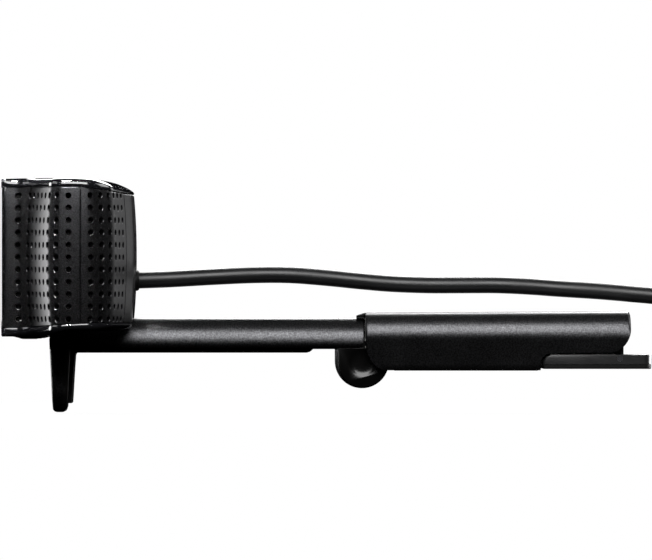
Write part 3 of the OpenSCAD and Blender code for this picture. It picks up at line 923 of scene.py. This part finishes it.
def make_front_shell():
    start, end = outline.where(BEZEL_U), outline.where(SHELL_SEAM)
    side = Skin(start, end, outline.where(FIRST_HOLE_U), 9, FRONT_PITCH, 0.3).build("side")
    rail = block("rail", (-29.2, 0.55, 18.5), (29.2, 1.75, 48.5))
    combine(rail, [block("opening", (-26, 0, 21), (26, 3, 46))], "DIFFERENCE")
    shell = joined("front_shell", [mirrored(side), rail])
    fit(shell, "skin_paint", "head", ["front_housing"])
    masks = [block("mask", (x, 2.2, 20), (x + 0.5, 15.5, 47.5)) for x in (-28.6, 28.1)]
    fit(joined("vent_masks", masks), "black_cloth", "head")


def make_rear_shell():
    start, end = outline.where(SHELL_SEAM), outline.where(BACK_SEAM)
    side = Skin(start, end, outline.where(FIRST_REAR_HOLE_U), 6, REAR_PITCH).build("rear_shell")
    fit(mirrored(side), "skin_paint", "head", ["rear_housing"])


def make_back_cover():
    start = outline.where(BACK_SEAM)
    cover = Skin(start, 2 * outline.length - start, spacing=0.9).build("rear_cover")
    cutters = [
        block("notch", (-15.5, 20, 10), (15.5, 40, 24.5)),
        rod_y("gland", 0, 28.6, 3, 20, 40),
    ]
    for z in (26, 29, 32, 35, 38):
        for side in (-1, 1):
            x0, x1 = sorted((side * 12, side * 24))
            cutters.append(block("vent", (x0, 27.2, z), (x1, 40, z + 0.9)))
    combine(cover, cutters, "DIFFERENCE")
    fit(cover, "skin_paint", "head", ["back_cover"])


def rim_cover(name, seam, face, rounding):
    """A cover over the head's whole outline: a rounded rim, and a crowned face in rows across it."""
    count = 150
    front = [outline.tip * i / count for i in range(count + 1)]
    rear = [outline.length - (outline.length - outline.tip) * i / count for i in range(count + 1)]
    lengths = front + rear[-2::-1]
    lengths = lengths[:-1] + [2 * outline.length - s for s in reversed(lengths[1:])]
    levels = [(0.14, 0.0), (0.0, 0.12), (0.0, 0.3)]
    for turn in (15, 30, 45, 60, 75, 90):
        c, s = math.cos(math.radians(turn)), math.sin(math.radians(turn))
        levels.append((rounding * (1 - c), 0.3 + 0.7 * s))
    made = Solid()
    rings = []
    for inset, share in levels:
        points = []
        for s in lengths:
            u = outline.at(s)[0].y
            x, u, _ = skin(s, seam(u), inset * (0.3 + 0.7 * smooth(u / 4) + 1.9 * smooth((u - 20) / 8)))
            points.append((x, u, seam(u) + (face(x, u) - seam(u)) * share))
        rings.append(made.ring(points))
    for a, b in zip(rings, rings[1:]):
        made.bridge(a, b)
    total = len(lengths)
    half = 2 * count

    def rows(ring, surface):
        """Fills a ring with rows from its front half to its rear half."""
        columns = []
        for i in range(-count + 1, count):
            a = made.points[ring[i % total]]
            b = made.points[ring[(half - i) % total]]
            inner = []
            for k in range(1, 12):
                p = a.lerp(b, k / 12)
                x, u = p.x / MM, (p.y - FRONT_Y) / MM
                inner.append(made.add((x, u, surface(x, u))))
            columns.append([ring[i % total], *inner, ring[(half - i) % total]])
        for one, other in zip(columns, columns[1:]):
            made.bridge(one, other, closed=False)
        for ends, tip in ((columns[0], -count), (columns[-1], count)):
            corner = ring[tip % total]
            for a, b in zip(ends, ends[1:]):
                made.faces.append((a, b, corner))

    rows(rings[-1], face)
    rows(rings[0], lambda x, u: seam(u))
    return made.mesh(name)


def make_top_cover():
    def face(x, u):
        return 50.7 - 2.4 * (max(0.0, u - 14) / 15) ** 2.5 - 0.1 * (1 - smooth(u / 6))

    cover = rim_cover("roof_cover", seam_high, face, 1.5)
    fit(cover, "gloss_black", "head", ["top_cover"], 40)


def make_bottom_cover():
    def face(x, u):
        base = 16.45 + 1.35 * smooth((u - 8.5) / 7)
        swell = smooth((u - 2.6) / 1.8) * (1 - smooth((u - 9.5) / 3))
        crown = max(0.0, 1 - (x / 28) ** 2)
        return base - 0.6 * swell * crown ** 0.7

    cover = rim_cover("floor_cover", seam_low, face, 1.3)
    tub = block("tub", (-17.2, 5.8, 17.9), (17.2, 27.4, 25.6))
    pad = block("pad", (-17, 12, 24.5), (17, 25.5, 26.6))
    combine(cover, [tub, pad], "UNION")
    cutters = [
        block("notch", (-15.5, 7.5, 10), (15.5, 40, 24.5)),
        block("slot", (-13.8, 13.5, 20), (13.8, 24.5, 40)),
    ]
    cutters += [rod_z("counterbore", x, u, 2.0, 10, 18.3) for x, u in HOUSING_SCREWS]
    combine(cover, cutters, "DIFFERENCE")
    fit(cover, "gloss_black", "head", ["bottom_cover"], 40)


HOUSING_SCREWS = [(side * x, u) for side in (-1, 1) for x, u in ((30, 23), (36, 12.5))]


def make_front_window():
    start = outline.where(BEZEL_U)
    made = Solid()
    across = [-start, *[-start + 0.15 * i for i in range(1, 12)]]
    across += [x for x in np.linspace(-28, 28, 15)]
    across += [-s for s in reversed(across[:12])]
    rings = []
    for s in across:
        x, u, _ = skin(s, SKIN_MIDDLE)
        low, high = seam_low(0) + 0.02, seam_high(0) - 0.02
        front = max(u, 0.0)
        back = BEZEL_U
        if back - front < 0.02:
            front = back - 0.02
        rings.append([
            (x, back, low), (x, front + 0.12 * (back - front) / back, low),
            (x, front, low + 0.12), (x, front, high - 0.12),
            (x, front + 0.12 * (back - front) / back, high), (x, back, high),
        ])
    made.loft(rings)
    window = made.mesh("front_window")
    cutters = [
        rod_y("lens_hole", 0, LENS_Z, 7.5, -1, 2, 96),
        rod_y("light_hole", LIGHT_X, LENS_Z, 1.0, -1, 2, 32),
    ]
    combine(window, cutters, "DIFFERENCE")
    fit(window, "gloss_black", "head", ["front_panel"])


def make_lens():
    ring = [(7.46, 1.8), (7.46, 0.2), (7.34, 0.06), (7.1, 0.0), (6.75, 0.02), (6.6, 0.12),
            (6.45, 0.3), (5.75, 1.05), (5.62, 1.3), (5.62, 1.8)]
    fit(lathe_y("lens_bezel", 0, LENS_Z, ring, 96), "ring_metal", "head", ["lens_ring"])
    glass = [(0, 0.62), (2, 0.64), (3.6, 0.7), (4.8, 0.79), (5.5, 0.88), (5.6, 0.95), (5.6, 1.4), (0, 1.4)]
    fit(lathe_y("lens_cover_glass", 0, LENS_Z, glass, 96), "window_glass", "head",
        ["lens_window"])

    funnel = [(5.9, 5.6), (5.9, 1.85), (5.55, 1.85)]
    for i in range(9):
        t = i / 8
        radius, u = 5.55 - 1.0 * t, 1.9 + 1.6 * t
        funnel += [(radius, u), (radius, u + 0.15)]
    funnel.append((4.5, 5.6))
    holder = block("holder", (-5.7, 5.5, LENS_Z - 5.7), (5.7, 14, LENS_Z + 5.7))
    bevel(holder, 0.4)
    bake(holder)
    combine(holder, [rod_y("bore", 0, LENS_Z, 4.45, 0, 20)], "DIFFERENCE")
    holder = joined("lens_mount", [holder, lathe_y("funnel", 0, LENS_Z, funnel)])
    fit(holder, "black_plastic", "head", ["lens_holder"])

    barrel = [(4.4, 12.6), (4.4, 3.75), (4.25, 3.6)]
    for radius in (4.05, 3.85, 3.65, 3.45):
        barrel += [(radius, 3.6), (radius - 0.04, 3.75), (radius - 0.16, 3.75), (radius - 0.18, 3.6)]
    barrel += [(3.2, 3.7), (3.2, 12.6)]
    fit(lathe_y("lens_tube", 0, LENS_Z, barrel), "black_plastic", "lens", ["lens_barrel"])
    for name, node, front, back, dome in (
        ("front_glass", "front_lens", 3.9, 5.2, 0.55), ("rear_glass", "rear_lens", 10.6, 12, -0.4),
    ):
        near = [(3.18 * i / 8, front + abs(dome) * (i / 8) ** 2) for i in range(9)]
        far = [(3.18 * i / 8, back - 0.3 * (1 - (i / 8) ** 2)) for i in range(8, -1, -1)]
        fit(lathe_y(name, 0, LENS_Z, near + far), "lens_glass", "lens", [node])


def make_grommet():
    """A rubber sleeve with a flared lip and grooves, tight on the lead."""
    bore = LEAD_D / 2 + 0.06
    profile = [(bore, 26.2), (2.98, 26.2), (2.98, 28.9), (2.9, 29.02), (2.5, 29.05), (2.42, 28.9), (2.3,
        28.9)]
    profile += [(2.25, 29.3), (2.15, 29.55), (2.0, 29.7), (bore, 29.75)]
    sleeve = lathe_y("lead_gland", 0, 28.6, profile)
    fit(sleeve, "black_rubber", "head", ["cord_grommet"])


def screw_heads(name, node, places, z, radius, height, shaft, body):
    """Pan head screws from below, each with a cross recess."""
    parts = []
    for x, u in places:
        profile = [(0, z), (radius * 0.6, z + 0.02), (radius * 0.85, z + 0.08), (radius, z + 0.25),
                   (radius, z + height), (shaft, z + height)]
        made = Solid()
        rings = [made.ring([(x + a, u + b, h) for a, b in circle(r, 32)]) for r, h in profile[1:]]
        rings.append(made.ring([(x + a, u + b, z + height + 2.5) for a, b in circle(shaft, 32)]))
        for a, b in zip(rings, rings[1:]):
            made.bridge(a, b)
        made.cap(rings[0])
        made.cap(rings[-1])
        head = made.mesh("screw")
        slots = [
            block("slot", (x - 0.62 * radius, u - 0.17, z - 1), (x + 0.62 * radius, u + 0.17, z + 0.35)),
            block("slot", (x - 0.17, u - 0.62 * radius, z - 1), (x + 0.17, u + 0.62 * radius, z + 0.35)),
        ]
        parts.append(combine(head, slots, "DIFFERENCE"))
    fit(joined(name, parts), "dark_screw", body, [node])


def dress_head_insides():
    looks = {
        "acoustic_cloth": "black_cloth", "sensor_board": "circuit_board", "image_sensor": "sensor_glass",
        "board_connector": "white_nylon", "main_board": "circuit_board", "microphones": "can_metal",
        "status_light": "lamp", "light_pipe": "light_guide", "cable_header": "white_nylon",
        "board_posts": "brass", "board_screws": "steel", "tilt_bracket": "steel", "bracket_screws": "steel",
        "tilt_axle": "steel", "tilt_nut": "steel", "tilt_washers": "steel",
    }
    for node, finish in looks.items():
        dress(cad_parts[node], finish)
    for node in ("tilt_bracket", "tilt_nut", "microphones", "board_connector", "cable_header"):
        bevel(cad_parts[node], 0.12)


make_front_shell()
make_rear_shell()
make_back_cover()
make_top_cover()
make_bottom_cover()
make_front_window()
make_lens()
make_grommet()
screw_heads("roof_screws", "housing_screws", HOUSING_SCREWS, 17.62, 1.9, 0.68, 1.0, "head")
dress_head_insides()


# ---------------------------------------------------------------- arm and lip

ARM_HALF = 14
ARM_LOW = 13.7
ARM_HIGH = 20.4
ARM_CREST = 14.9
ARM_FRONT = 10.4
ARM_BACK = 78.5
HINGE_U = 78.2
HINGE_Z = 11.1
CAP_U = 78.4
CAP_Z = 10.6
CAP_R = 5.25
DISH_R = 3.1
DISH_DEEP = 0.4


def section(u, low, high, half, count, both=True):
    """A ring across X at a depth, from a half width at each height; dense near the top, or both ends."""
    side = []
    for k in range(count + 1):
        share = (1 - math.cos(math.pi * k / count)) / 2 if both else math.sin(math.pi / 2 * k / count)
        z = low + (high - low) * share
        side.append((half(z), z))
    return [(x, u, z) for x, z in side] + [(-x, u, z) for x, z in reversed(side)]


def arm_ring(u):
    low, high = ARM_LOW, ARM_HIGH
    if u < ARM_FRONT + 3:
        high = ARM_HIGH - 3 + math.sqrt(max(0, 9 - (ARM_FRONT + 3 - u) ** 2))
    if u > ARM_BACK - 0.8:
        high = ARM_HIGH - 0.8 + math.sqrt(max(0, 0.64 - (u - ARM_BACK + 0.8) ** 2))
    if u > ARM_BACK - 2:
        low = ARM_LOW + 2 - math.sqrt(max(0, 4 - (u - ARM_BACK + 2) ** 2))

    def half(z):
        if z > ARM_CREST:
            rise = min((z - ARM_CREST) / (ARM_HIGH - ARM_CREST), 1)
            return ARM_HALF - 4.5 + 4.5 * math.sqrt(1 - rise * rise)
        drop = min((ARM_CREST - z) / (ARM_CREST - ARM_LOW), 1)
        return ARM_HALF - 1.6 * (1 - math.sqrt(1 - drop * drop)) * smooth((u - 12.5) / 6)

    return section(u, low, high, half, 20)


def make_arm():
    stations = [ARM_FRONT + 3 * (1 - math.cos(math.pi / 2 * i / 8)) for i in range(9)]
    stations += steps(stations[-1], ARM_BACK - 2, 24)
    stations += [ARM_BACK - 2 + 2 * math.sin(math.pi / 2 * i / 10) for i in range(1, 11)]
    made = Solid()
    made.loft([arm_ring(u) for u in stations])
    shell = made.mesh("arm_cover")

    fronts = [(0, 12), (0.08, 11.65), (0.25, 11.35), (0.6, 11.1), (3.4, 10.9), (10, 10.6), (16, 10.3)]
    made = Solid()
    rings = []
    for z in (0, 0.08, 0.25, 0.6, 1, 1.6, 2.3, 3.1, 4, 5, 7, 9, 11, 13, 14.5, 16):
        front = float(np.interp(z, [f[0] for f in fronts], [f[1] for f in fronts]))
        wide = ARM_HALF - 5 + math.sqrt(max(0, 25 - (5 - min(z, 5)) ** 2))
        edge = min(0.9, (13.2 - front) * 0.6)
        right = arc(wide - edge, front + edge, edge, 0, -90, 6)
        ring = [(wide, 13.2), *right]
        rings.append([(x, u, z) for x, u in ring] + [(-x, u, z) for x, u in reversed(ring)])
    made.loft(rings)
    combine(shell, [made.mesh("lip")], "UNION")
    cutters = [
        block("plate_bed", (-9, 16.5, 10), (9, 71, ARM_LOW + 3)),
        block("post_bed", (-8.4, 14, ARM_HIGH - 1), (8.4, 24, 30)),
        rod_x("barrel_bed", HINGE_U, HINGE_Z, 4.8, -7.4, 7.4),
    ]
    combine(shell, cutters, "DIFFERENCE")
    fit(shell, "gunmetal_paint", "base", ["arm_shell"])


def make_lip_backing():
    backs = [(0, 13.2), (0.1, 13.5), (0.25, 13.8), (0.6, 14.0), (1.2, 14.2), (ARM_LOW, 14.9)]
    made = Solid()
    rings = []
    for z in (0, 0.1, 0.25, 0.6, 1.2, 2, 3, 4, 5, 8, 11, ARM_LOW):
        back = float(np.interp(z, [b[0] for b in backs], [b[1] for b in backs])) + 0.01
        wide = ARM_HALF - 5 + math.sqrt(max(0, 25 - (5 - min(z, 5)) ** 2))
        edge = min(0.5, (back - 13.2) * 0.5)
        right = [(wide, 13.2)] + arc(wide - edge, back - edge, edge, 0, 90, 4)
        rings.append([(x, u, z) for x, u in right] + [(-x, u, z) for x, u in reversed(right)])
    made.loft(rings)
    fit(made.mesh("lip_back"), "black_plastic", "base", ["lip_backing"])


def make_grip():
    """The rubber liner in the clip's corner, ribbed lengthwise."""
    outer = [(14.5, 1.95), (15.15, 1.95), (15.3, 2.1), (15.43, 4), (15.6, 7), (15.78, 10), (15.95, 12.3),
             (16.05, 12.65), (16.3, 12.88), (16.5, 12.9)]
    outer += [(u, 12.9) for u in np.linspace(20, 66.2, 12)] + [(66.9, 13.1), (67.4, 13.5)]
    inner = [(67.6, ARM_LOW)] + [(u, ARM_LOW) for u in np.linspace(66, 20, 12)]
    inner += [(14.95, ARM_LOW), (14.75, 10), (14.5, 6), (14.3, 2.1)]
    half = 11.5
    made = Solid()
    rings = []
    count = 92
    for i in range(count + 1):
        x = -half + 2 * half * i / count
        rib = 0.26 * (0.5 - 0.5 * math.cos(math.tau * (x + half) / (2 * half) * 13))
        rim = 0.5 * max(0.0, abs(x) - half + 0.4) / 0.4
        ring = []
        for u, z in outer:
            down = smooth((u - 15.9) / 0.6)
            sink = rib + rim * 0.4
            ring.append((x, u - sink * (1 - down), z + sink * down))
        rings.append(ring + [(x, u, z) for u, z in inner])
    made.loft(rings)
    fit(made.mesh("grip_pad"), "black_rubber", "base", ["grip_liner"])


def lobe_outline(radius, u, z, left, count=40):
    """The hinge lobe from the side: a round end below the arm, and a flat bed on it."""
    top = ARM_LOW + 0.25
    right = math.degrees(math.asin(min(1, (top - z) / radius)))
    return [(left, top)] + arc(u, z, radius, 180, 360 + right, count)


def make_hinge():
    parts = []
    for side in (-1, 1):
        x0, x1 = sorted((side * 7.4, side * 12.7))
        lug = slab_x("lug", lobe_outline(5.9, HINGE_U, HINGE_Z, HINGE_U - 5.9), x0, x1, 0.35)
        parts.append(combine(lug, [rod_x("eye", HINGE_U, HINGE_Z, 1.5, x0 - 1, x1 + 1)], "DIFFERENCE"))
    fit(joined("hinge_ears", parts), "gunmetal_paint", "base", ["hinge_lugs"])

    fit(joined("hinge_buttons", [dished_cap(side) for side in (-1, 1)]), "cap_black", "base",
        ["hinge_caps"], 50)
    stop = block("leg_stop", (-9.2, 77, 14.4), (9.2, ARM_BACK + 0.4, 20.42))
    ears = [block("ear", (x, 74.5, 13), (x + 4, ARM_BACK + 0.4, 14.5)) for x in (-12, 8)]
    fit(joined("leg_stops", [stop, *ears]), "black_plastic", "base")


def dished_cap(side):
    """A glossy tongue-shaped cap with a round dish in its face, flat in the middle and steep at the rim."""
    x0, x1 = sorted((side * 12.7, side * 13.5))
    outline = lobe_outline(CAP_R, CAP_U, CAP_Z, CAP_U - CAP_R, 64)
    cap = slab_x("cap", outline, x0, x1, 0.15)
    made = Solid()
    rings = [(DISH_R * i / 12, 13.5 - DISH_DEEP * (1 - (i / 12) ** 4)) for i in range(1, 12)]
    rings += [(DISH_R, 13.5), (DISH_R + 0.4, 13.9), (DISH_R + 0.4, 15)]
    made.loft([
        [(side * x, CAP_U + p, CAP_Z + 0.2 + q) for p, q in circle(r, 72)]
        for r, x in rings
    ])
    return combine(cap, [made.mesh("dish")], "DIFFERENCE")


def dress_arm():
    looks = {
        "tilt_post": "black_plastic", "arm_stiffener": "steel", "arm_base_plate": "black_plastic",
        "arm_screws": "steel", "hinge_pin": "steel", "hinge_washers": "white_nylon",
    }
    for node, finish in looks.items():
        dress(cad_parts[node], finish)
    bevel(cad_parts["tilt_post"], 0.3)


make_arm()
make_lip_backing()
make_grip()
make_hinge()
dress_arm()


# ---------------------------------------------------------------- leg and foot

LEG_FRONT = 78.95
LEG_LOW = 9.1
LEG_TOP = 21.6
LEG_CREST = 16.2
LEG_HALF = 17
LEG_BACK = 136.6
FOOT_HALF = 16
FOOT_BACK = 141


def leg_ring(u, low, high, shrink=0.0):
    def half(z):
        if z < LEG_CREST:
            return LEG_HALF - 1.3 * min((LEG_CREST - z) / 8, 1) - 0.9 * smooth((9.6 - z) / 1.4) - shrink
        rise = min((z - LEG_CREST) / max(high - LEG_CREST, 0.5), 1)
        return LEG_HALF - 4.5 * (1 - math.sqrt(1 - rise * rise)) - shrink

    return section(u, low + shrink, high - shrink, half, 30, both=False)


def leg_low_at(u):
    if u < LEG_FRONT + 4.7:
        lean = (LEG_FRONT + 4.7 - u) / 4.7
        return 15.7 - (15.7 - LEG_LOW) * math.sqrt(max(0, 1 - lean * lean))
    if u <= 117:
        return LEG_LOW
    if u < 119.2:
        return 10.6 + math.sqrt(max(0, 2.2**2 - (119.2 - u) ** 2))
    if u < 132:
        return 12.8 + 0.2 * (u - 119.2) / 12.8
    lean = min((u - 132) / (LEG_BACK - 132), 1)
    return 18.2 - 5.2 * math.sqrt(1 - lean * lean)


def leg_high_at(u):
    top = LEG_TOP + 0.3 * (u - LEG_FRONT) / 57
    if u > 136.25:
        lean = min((u - 136.25) / (LEG_BACK - 136.25), 1)
        top = 18.25 + 3.15 * math.sqrt(1 - lean * lean)
    elif u > 135.75:
        top = 21.4 + 0.5 * math.sqrt(1 - ((u - 135.75) / 0.5) ** 2)
    return top


def make_leg():
    stations = [(LEG_FRONT, 0.45), (LEG_FRONT + 0.06, 0.22), (LEG_FRONT + 0.2, 0.07), (LEG_FRONT + 0.45, 0.0)]
    stations += [(LEG_FRONT + 4.7 * (1 - math.cos(math.pi / 2 * t)), 0.0) for t in np.linspace(0.36, 1, 9)]
    stations += [(u, 0.0) for u in steps(LEG_FRONT + 4.7, 116.98, 22)]
    made = Solid()
    rings = [leg_ring(u, leg_low_at(u), leg_high_at(u), s) for u, s in stations]
    for turn in (0, 20, 40, 60, 75, 90):
        u = 119.2 - 2.2 * math.cos(math.radians(turn)) + 0.001
        rings.append(leg_ring(u, leg_low_at(u), leg_high_at(u)))
    for u in steps(119.2, 132, 6):
        rings.append(leg_ring(u, leg_low_at(u), leg_high_at(u)))
    for t in range(1, 21):
        u = 132 + 4.59 * math.sin(math.pi / 2 * t / 20)
        rings.append(leg_ring(u, leg_low_at(u), leg_high_at(u), 0.2 * (t / 20) ** 20))
    made.loft(rings)
    shell = made.mesh("leg_cover_shell")
    combine(shell, [block("cavity", (-14.3, 70, 0), (14.3, 135.1, 19.9))], "DIFFERENCE")
    tongue = [(77, 20.46), (77, 20.95), (78.7, 21.52), (79.6, 21.58), (79.6, 20.46)]
    fit(shell, "gunmetal_paint", "leg", ["leg_shell"])
    fit(slab_x("leg_tongue", tongue, -12, 12, 0.1), "cap_black", "leg")

    ribs = bpy.data.objects.new("leg_ribs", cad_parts["leg_frame"].data.copy())
    bpy.context.scene.collection.objects.link(ribs)
    bay = block("foot_bay", (-13.6, 115.5, 9.5), (13.6, 134.8, 15))
    room = [
        block("room", (-15, 133.5, 8), (15, 140, 12.75)),
        block("room", (-15, 117.2, 8), (15, 140, 10.6)),
        block("room", (-15, 119.2, 8), (15, 140, 12.6)),
        rod_x("room", 119.2, 10.6, 2.0, -15, 15, 96),
    ]
    combine(bay, room, "DIFFERENCE")
    fit(joined("leg_chassis", [ribs, bay]), "black_plastic", "leg", ["leg_frame"])
    cover = block("belly_cover", (-14.25, 85, 9.02), (14.25, 116.6, 10.4))
    bevel(cover, 0.35, 3)
    bake(cover)
    grooves = [block("groove", (-11, 96 + 2 * i, 8), (11, 96.8 + 2 * i, 9.32)) for i in range(6)]
    screws = [(side * 8, u) for side in (-1, 1) for u in (91, 112)]
    grooves += [rod_z("counterbore", x, u, 2.0, 8, 9.7) for x, u in screws]
    combine(cover, grooves, "DIFFERENCE")
    fit(cover, "black_plastic", "leg", ["leg_cover"])
    screw_heads("belly_screws", "leg_screws", screws, 9.12, 1.9, 0.55, 1.0, "leg")


def foot_ring(front, back, z, inset=0.0):
    """The foot's outline in plan at a height: round corners, wider ones at the back."""
    half = FOOT_HALF - inset
    front, back = front + inset, back - inset
    right = arc(half - 0.8, front + 0.8, 0.8, -90, 0, 5) + arc(half - 1.6, back - 1.6, 1.6, 0, 90, 10)
    return [(x, u, z) for x, u in right] + [(-x, u, z) for x, u in reversed(right)]


def make_foot():
    made = Solid()
    rings = [foot_ring(117.3, FOOT_BACK, 10.45)]
    for turn in (5, 20, 35, 50, 65, 78):
        c, s = math.cos(math.radians(turn)), math.sin(math.radians(turn))
        rings.append(foot_ring(119.2 - 1.9 * c, FOOT_BACK, 10.6 + 1.9 * s))
    rings.append(foot_ring(119.2, FOOT_BACK, 12.5, 0.12))
    made.loft(rings)
    foot = made.mesh("foot_bar")
    slots = []
    for side in (-1, 1):
        x0, x1 = sorted((side * 8.9, side * 12.1))
        slots.append(block("slot", (x0, 131.4, 5), (x1, 137.6, 15)))
    slots.append(rod_x("pin_hole", 134.2, 11.65, 0.62, -20, 20))
    combine(foot, slots, "DIFFERENCE")
    fit(foot, "foot_plastic", "foot", ["foot_plate"])
    made = Solid()
    made.loft([
        foot_ring(117.32, FOOT_BACK, z, inset)
        for z, inset in ((9.4, 0.3), (9.46, 0.1), (9.62, 0.0), (10.36, 0.0), (10.45, 0.08))
    ])
    fit(made.mesh("foot_sole"), "black_rubber", "foot", ["foot_pad"])
    dress(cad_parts["foot_pin"], "dark_screw")


make_leg()
make_foot()


# ---------------------------------------------------------------- floor and light

FLOOR_NEAR = 0.16
FLOOR_FAR = 0.5


def make_floor():
    data = bpy.data.meshes.new("floor")
    size = 40.0
    data.from_pydata([(-size, -size, 0), (size, -size, 0), (size, size, 0), (-size, size, 0)], [], [(0,
        1, 2, 3)])
    floor = bpy.data.objects.new("floor", data)
    floor.location.z = -0.0004
    bpy.context.scene.collection.objects.link(floor)
    material = bpy.data.materials.new("floor")
    material.use_nodes = True
    tree = material.node_tree
    tree.nodes.clear()
    out = tree.nodes.new("ShaderNodeOutputMaterial")
    mix = tree.nodes.new("ShaderNodeMixShader")
    lit = tree.nodes.new("ShaderNodeBsdfDiffuse")
    lit.inputs["Color"].default_value = (0.9, 0.9, 0.9, 1)
    bright = tree.nodes.new("ShaderNodeEmission")
    bright.inputs["Strength"].default_value = 1.0
    place_of = tree.nodes.new("ShaderNodeNewGeometry")
    far = tree.nodes.new("ShaderNodeVectorMath")
    far.operation = "LENGTH"
    span = tree.nodes.new("ShaderNodeMapRange")
    span.inputs[1].default_value = FLOOR_NEAR
    span.inputs[2].default_value = FLOOR_FAR
    span.inputs[3].default_value = 0.97
    tree.links.new(place_of.outputs["Position"], far.inputs[0])
    tree.links.new(far.outputs["Value"], span.inputs[0])
    tree.links.new(span.outputs[0], mix.inputs[0])
    tree.links.new(lit.outputs[0], mix.inputs[1])
    tree.links.new(bright.outputs[0], mix.inputs[2])
    tree.links.new(mix.outputs[0], out.inputs["Surface"])
    data.materials.append(material)
    floor.visible_glossy = False
    floor.visible_diffuse = False


def area_light(name, centre, target, width, height, strength, spread=180):
    """A soft rectangular light that the camera doesn't see. Its strength is in watts for a square metre."""
    data = bpy.data.lights.new(name, "AREA")
    data.shape = "RECTANGLE"
    data.size = width
    data.size_y = height
    data.energy = strength * width * height
    data.spread = math.radians(spread)
    light = bpy.data.objects.new(name, data)
    light.location = centre
    ahead = Vector(target) - Vector(centre)
    light.rotation_euler = ahead.to_track_quat("-Z", "Y").to_euler()
    light.visible_camera = False
    bpy.context.scene.collection.objects.link(light)
    return light


# name, place, aimed at, width, height, power and, if narrower than 180, spread in degrees
LIGHTS = (
    ("side_box", (0.6, 0.02, 0.42), (0, 0.02, 0.02), 0.5, 0.38, 35),
    ("far_box", (-0.6, 0.02, 0.42), (0, 0.02, 0.02), 0.5, 0.38, 35),
    ("roof_box", (0.09, -0.082, 0.19), (0.04, -0.08, 0.05), 0.05, 0.05, 30, 14),
    ("foot_card", (0.0125, 0.077, 0.0115), (0.0148, 0.07, 0.011), 0.004, 0.004, 120),
    ("left_card", (-0.35, -0.51, 0.05), (0.04, -0.062, 0.035), 0.3, 0.3, 14),
    ("edge_card", (-0.26, -0.58, 0.05), (0.04, -0.062, 0.035), 0.12, 0.3, 10),
    ("right_card", (-0.45, 0.40, 0.06), (0.03, -0.045, 0.035), 0.2, 0.3, 3.3),
    ("front_fill", (0.15, -0.8, 0.45), (0, -0.03, 0.03), 0.7, 0.4, 8),
    ("back_fill", (-0.15, 0.9, 0.6), (0, 0.03, 0.03), 0.9, 0.5, 12),
    ("top_fill", (0, 0, 1), (0, 0, 0), 0.8, 0.8, 0.5),
)


def make_lights():
    for light in LIGHTS:
        area_light(*light)


def make_world():
    world = bpy.data.worlds.new("studio")
    world.use_nodes = True
    world.node_tree.nodes["Background"].inputs["Color"].default_value = (1, 1, 1, 1)
    world.node_tree.nodes["Background"].inputs["Strength"].default_value = 1.0
    world.cycles_visibility.diffuse = False
    world.cycles_visibility.glossy = False
    world.cycles_visibility.transmission = False
    bpy.context.scene.world = world
    bpy.context.scene.view_settings.view_transform = "Standard"
    bpy.context.scene.view_settings.look = "None"


make_floor()
make_lights()
make_world()
